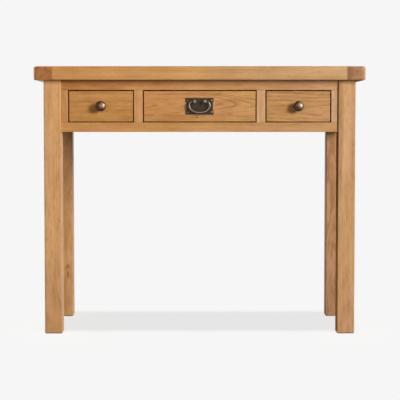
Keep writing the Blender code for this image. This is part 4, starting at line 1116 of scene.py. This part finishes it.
class DRESSING_TABLE_OT_build_knobs(Operator):
    """Turn the two round bronze knobs and cut their screws"""

    bl_idname = "dressing_table.build_knobs"
    bl_label = "Build the knobs"

    def execute(self, context):
        metal = context.scene.dressing_table_metal
        for word, _ in SIDES:
            node = "knob_" + word
            low, high, middle, radius = round_box(node)
            knob = turned(knob_profile(radius, high.y - low.y), metal.turned_steps)
            # Painted highlight: the bright spot sits at the knob's upper right, where the key lamp
            # shines, and the knob is darker away from it, painted shade over the patina.
            rubbed = (middle.x + 0.60 * radius, low.y, middle.z + 0.30 * radius)
            spot = wear_and_highlight_spot(rubbed, 0.1 * radius, 1.35 * radius)
            bronze = metal_material(f"{node}_bronze", metal.knob_dark, metal.knob, spot,
                                    dullness=0.56, finish={"Coat Weight": 0.22})
            turned_piece(node, knob, (middle.x, high.y, middle.z), bronze)
            build_knob_screw(word, metal)
        return {"FINISHED"}


def build_knob_screw(word, metal):
    """A machine screw through the drawer front into its knob, with a slot across its head."""
    node = "knob_screw_" + word
    slot_depth = 0.0008
    slot_width = 0.0010
    plain_shank = 0.0040
    low, high, middle, head = round_box(node)
    face, back = (corner.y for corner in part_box(f"drawer_{word}_front"))
    grip = back + CLEARANCE - face
    head_height = high.y - back - CLEARANCE
    reach = face - low.y
    screw = turned(screw_profile(head, head_height, grip, reach), metal.turned_steps // 2)
    slot = bmesh.new()
    bmesh.ops.create_cube(slot, size=1.0)
    bmesh.ops.scale(slot, vec=(3 * head, 2 * slot_depth, slot_width), verts=slot.verts)
    bmesh.ops.translate(slot, vec=(0.0, grip + head_height, 0.0), verts=slot.verts)
    screw = combined(screw, slot, "DIFFERENCE")
    add_thread(screw, plain_shank - grip, reach - THREAD_END, metal)
    turned_piece(node, screw, (middle.x, face, middle.z), steel_material(node + "_steel"))


def plate_seat():
    """The y from which the fittings on the plate stand forward, a clearance off its face."""
    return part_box("bail_plate")[0].y - CLEARANCE


class DRESSING_TABLE_OT_build_plate(Operator):
    """Soften the back plate of the pull and turn the four pins that hold it"""

    bl_idname = "dressing_table.build_plate"
    bl_label = "Build the plate and its pins"

    def execute(self, context):
        metal = context.scene.dressing_table_metal
        edges = rubbed_edges("bail_plate", width=0.0012)
        bronze = metal_material("bail_plate_bronze", metal.dark, metal.worn, edges, dullness=0.5,
                                finish={"Metallic": 0.3, "Specular IOR Level": 0.1})
        soft_board("bail_plate", bronze)
        seat = plate_seat()
        for node in PINS:
            low, high, middle, radius = round_box(node)
            pin = turned(pin_profile(radius, seat - low.y, high.y - seat), metal.turned_steps // 2)
            spot = wear_and_highlight_spot((middle.x, low.y, middle.z), 0.6 * radius, 1.6 * radius)
            # Painted light: the pins on the right, on the key lamp's side, are painted brighter than
            # those on the left.
            painted_light_by_side = 1.2 if node.endswith("right") else 0.6
            bright = [painted_light_by_side * value for value in metal.worn]
            bronze = metal_material(f"{node}_bronze", metal.dark, bright, spot)
            turned_piece(node, pin, (middle.x, seat, middle.z), bronze)
        return {"FINISHED"}


class DRESSING_TABLE_OT_build_posts(Operator):
    """Turn the ball posts that carry the bail, bore them for its pins and cut their nuts"""

    bl_idname = "dressing_table.build_posts"
    bl_label = "Build the posts and their nuts"

    def execute(self, context):
        metal = context.scene.dressing_table_metal
        seat = plate_seat()
        bore_radius = 0.0019
        bore_start = 0.0002
        threaded = 0.0112
        for word, side in SIDES:
            node = "bail_post_" + word
            low, high, middle, ball = round_box(node)
            post = turned(post_profile(ball, seat - low.y, high.y - seat), metal.turned_steps)
            depth = low.y + ball - seat
            bore = rod(bore_radius, (side * bore_start, depth, 0.0), (side * 2 * ball, depth, 0.0),
                       metal.turned_steps // 2)
            post = combined(post, bore, "DIFFERENCE")
            thread_start = seat - high.y + THREAD_END
            add_thread(post, thread_start, thread_start + threaded, metal)
            spot = wear_and_highlight_spot((middle.x, low.y, middle.z), 1.2 * ball, 3.0 * ball)
            bright = [0.95 * value for value in metal.worn]
            bronze = metal_material(f"{node}_bronze", metal.dark, bright, spot, dullness=0.72,
                                    finish={"Metallic": 0.5, "Specular IOR Level": 0.2})
            turned_piece(node, post, (middle.x, seat, middle.z), bronze)
            build_nut("bail_nut_" + word, metal)
        return {"FINISHED"}


def build_nut(node, metal):
    """A hexagon nut with rounded corners and a washer face, at the back of the drawer front."""
    bore_radius = 0.0021
    low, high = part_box(node)
    middle = (low + high) / 2
    size = high - low
    corners = max(size.x, size.z) / 2
    hexagon = rod(corners, (0.0, 0.001, 0.0), (0.0, -size.y - 0.001, 0.0), 6)
    if size.x > size.z:
        bmesh.ops.rotate(hexagon, verts=hexagon.verts, matrix=Matrix.Rotation(math.pi / 6, 3, "Y"))
    barrel = turned(nut_barrel(corners, size.y), metal.turned_steps)
    nut = combined(hexagon, barrel, "INTERSECT")
    bore = rod(bore_radius, (0.0, 0.002, 0.0), (0.0, -size.y - 0.002, 0.0), metal.turned_steps // 2)
    nut = combined(nut, bore, "DIFFERENCE")
    turned_piece(node, nut, (middle.x, high.y, middle.z), steel_material(node + "_steel"))


class DRESSING_TABLE_OT_build_bail(Operator):
    """Sweep the bar of the drop handle, thicker at the bottom of its loop"""

    bl_idname = "dressing_table.build_bail"
    bl_label = "Build the bail"

    def execute(self, context):
        metal = context.scene.dressing_table_metal
        joint = next(joint for joint in frame["joints"] if joint["name"] == "bail_swing")
        hinge = Vector(joint["pos_m"])
        bar = swept(bar_places(bail_path(*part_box("bail_handle")), hinge), metal.bail_steps)
        bronze = metal_material("bail_bronze", metal.dark, metal.worn, rubbed_away_from(hinge),
                                dullness=0.40)
        make_piece("bail_bar", bar, bronze, "bail_handle")
        return {"FINISHED"}


class DRESSING_TABLE_OT_set_stage(Operator):
    """Set the floor, the background, the lamps and the camera"""

    bl_idname = "dressing_table.set_stage"
    bl_label = "Set the stage"

    def execute(self, context):
        studio = context.scene.dressing_table_studio
        context.scene.view_settings.view_transform = "Standard"
        floor = make_floor(studio)
        make_world(studio)
        make_lamps(studio, floor)
        make_camera(studio)
        return {"FINISHED"}


def grey(value):
    """A colour without a hue."""
    return (value, value, value, 1.0)


def seen_directly(sheet):
    """One for rays from the camera and for those that gloss or glass sends on, else zero."""
    rays = sheet.add("LightPath").outputs
    seen = sheet.math("MAXIMUM", rays["Is Camera Ray"], rays["Is Glossy Ray"])
    return sheet.math("MAXIMUM", seen, rays["Is Transmission Ray"])


def make_floor(studio):
    """A plain pale floor that takes a faint shadow.

    Seen directly it glows as the background does, less what its own lamp adds to its shaded
    paint; the rest of the light meets a plain grey.
    """
    half_size = 40.0
    shaded = 0.23
    plain = 0.25
    bm = bmesh.new()
    bmesh.ops.create_grid(bm, x_segments=1, y_segments=1, size=half_size)
    floor = link_object("studio_floor", new_mesh("studio_floor", bm))

    material = bpy.data.materials.new("studio_floor_paint")
    sheet = cleared_sheet(material)
    lit = shaded * (studio.sky + studio.overhead)
    glow = sheet.add("Emission", {"Strength": studio.background - lit})
    faint = sheet.add("BsdfDiffuse", {"Color": grey(shaded)})
    shown = sheet.add("AddShader", {0: glow.outputs[0], 1: faint.outputs[0]})
    unseen = sheet.add("BsdfDiffuse", {"Color": grey(plain)})
    choice = sheet.add("MixShader", {0: seen_directly(sheet), 1: unseen.outputs[0],
                                     2: shown.outputs[0]})
    sheet.add("OutputMaterial", {"Surface": choice.outputs[0]})
    floor.data.materials.append(material)
    return floor


def make_world(studio):
    """Even light, with the background's own brightness where it is seen."""
    world = bpy.data.worlds.new("studio")
    sheet = cleared_sheet(world)
    light, shown = (sheet.add("Background", {"Color": grey(1.0), "Strength": strength}).outputs[0]
                    for strength in (studio.sky, studio.background))
    choice = sheet.add("MixShader", {0: seen_directly(sheet), 1: light, 2: shown})
    sheet.add("OutputWorld", {"Surface": choice.outputs[0]})
    bpy.context.scene.world = world


def add_lamp(name, kind, energy, place, aim, **settings):
    """One lamp that looks at a point."""
    data = bpy.data.lights.new(name, kind)
    data.energy = energy
    for key, value in settings.items():
        setattr(data, key, value)
    lamp = link_object(name, data, place)
    lamp.rotation_euler = (Vector(aim) - Vector(place)).to_track_quat("-Z", "Y").to_euler()
    return lamp


def add_panel_lamp(name, light, place, aim, width, height):
    """A flat lamp that lights a white board at its aim, turned to face it, to a brightness."""
    power = light * math.pi ** 2 * (Vector(place) - aim).length ** 2
    return add_lamp(name, "AREA", power, place, aim, shape="RECTANGLE", size=width, size_y=height)


def link_lamps(name, lamps, piece, state):
    """Keep a piece out of the lamps' light, or let them light it alone."""
    collection = bpy.data.collections.new(name)
    collection.objects.link(piece)
    collection.collection_objects[0].light_linking.link_state = state
    for lamp in lamps:
        lamp.light_linking.receiver_collection = collection


def make_lamps(studio, floor):
    """A near key lamp at the front right, a weak fill at the front left, and some for rims and sheen."""
    aim = Vector((0.0, -0.2, 0.66))
    screen = 2.2
    table_lamps = (
        add_panel_lamp("key_lamp", studio.key, (3.1, -3.0, 1.85), aim, width=0.9, height=1.9),
        add_panel_lamp("fill_lamp", studio.fill, (-1.1, -3.0, 1.15), aim, width=1.5, height=1.5),
        add_panel_lamp("side_lamp", studio.side, (-4.0, 0.5, 1.4), aim, width=1.6, height=1.6),
        add_lamp("pale_screen", "AREA", studio.sheen * math.pi * screen * screen, (2.1, -5.2, 1.0),
                 aim, shape="SQUARE", size=screen),
        add_lamp("back_light", "SUN", studio.back * math.pi, (-1.0, 2.4, 2.2), ORIGIN,
                 angle=math.radians(20)),
    )
    floor_lamp = add_lamp("floor_light", "SUN", studio.overhead * math.pi, (0.0, -0.25, 3.0), ORIGIN,
                          angle=math.radians(6))
    overhang = bpy.data.collections.new("casts_no_floor_shadow")
    for node in TOP_BOARDS[1:]:
        overhang.objects.link(bpy.data.objects[node + "_board"])
    for member in overhang.collection_objects:
        member.light_linking.link_state = "EXCLUDE"
    floor_lamp.light_linking.blocker_collection = overhang
    link_lamps("all_but_the_floor", table_lamps, floor, "EXCLUDE")
    link_lamps("the_floor_alone", (floor_lamp,), floor, "INCLUDE")


def make_camera(studio):
    """The camera, at the photograph's place and angle."""
    data = bpy.data.cameras.new("studio_camera")
    data.lens = studio.lens
    data.sensor_width = 36.0
    camera = link_object("studio_camera", data, studio.camera)
    camera.rotation_euler = (math.pi / 2 - studio.tilt, 0.0, -studio.turn)
    bpy.context.scene.camera = camera


OPERATORS = (
    DRESSING_TABLE_OT_finish_top,
    DRESSING_TABLE_OT_finish_legs,
    DRESSING_TABLE_OT_finish_frame,
    DRESSING_TABLE_OT_finish_bearers,
    DRESSING_TABLE_OT_finish_drawers,
    DRESSING_TABLE_OT_build_knobs,
    DRESSING_TABLE_OT_build_plate,
    DRESSING_TABLE_OT_build_posts,
    DRESSING_TABLE_OT_build_bail,
    DRESSING_TABLE_OT_set_stage,
)
SETTINGS = {
    "dressing_table_wood": DressingTableWood,
    "dressing_table_metal": DressingTableMetal,
    "dressing_table_studio": DressingTableStudio,
}


class DRESSING_TABLE_PT_panel(Panel):
    """Sidebar panel with the steps and the settings of the table"""

    bl_idname = "DRESSING_TABLE_PT_panel"
    bl_label = "Dressing Table"
    bl_space_type = "VIEW_3D"
    bl_region_type = "UI"
    bl_category = "Dressing Table"

    def draw(self, context):
        for operator in OPERATORS:
            self.layout.operator(operator.bl_idname)
        for name in SETTINGS:
            settings = getattr(context.scene, name)
            box = self.layout.box()
            for setting in settings.__annotations__:
                box.prop(settings, setting)


def register():
    """Register the settings, the operators and the panel."""
    for name, group in SETTINGS.items():
        bpy.utils.register_class(group)
        setattr(bpy.types.Scene, name, PointerProperty(type=group))
    for operator in OPERATORS:
        bpy.utils.register_class(operator)
    bpy.utils.register_class(DRESSING_TABLE_PT_panel)


def unregister():
    """Take back what register did."""
    bpy.utils.unregister_class(DRESSING_TABLE_PT_panel)
    for operator in reversed(OPERATORS):
        bpy.utils.unregister_class(operator)
    for name, group in SETTINGS.items():
        delattr(bpy.types.Scene, name)
        bpy.utils.unregister_class(group)


def main():
    """Build the looks of the table, step by step."""
    register()
    bpy.ops.dressing_table.finish_top()
    bpy.ops.dressing_table.finish_legs()
    bpy.ops.dressing_table.finish_frame()
    bpy.ops.dressing_table.finish_bearers()
    bpy.ops.dressing_table.finish_drawers()
    bpy.ops.dressing_table.build_knobs()
    bpy.ops.dressing_table.build_plate()
    bpy.ops.dressing_table.build_posts()
    bpy.ops.dressing_table.build_bail()
    bpy.ops.dressing_table.set_stage()


if __name__ == "__main__":
    main()
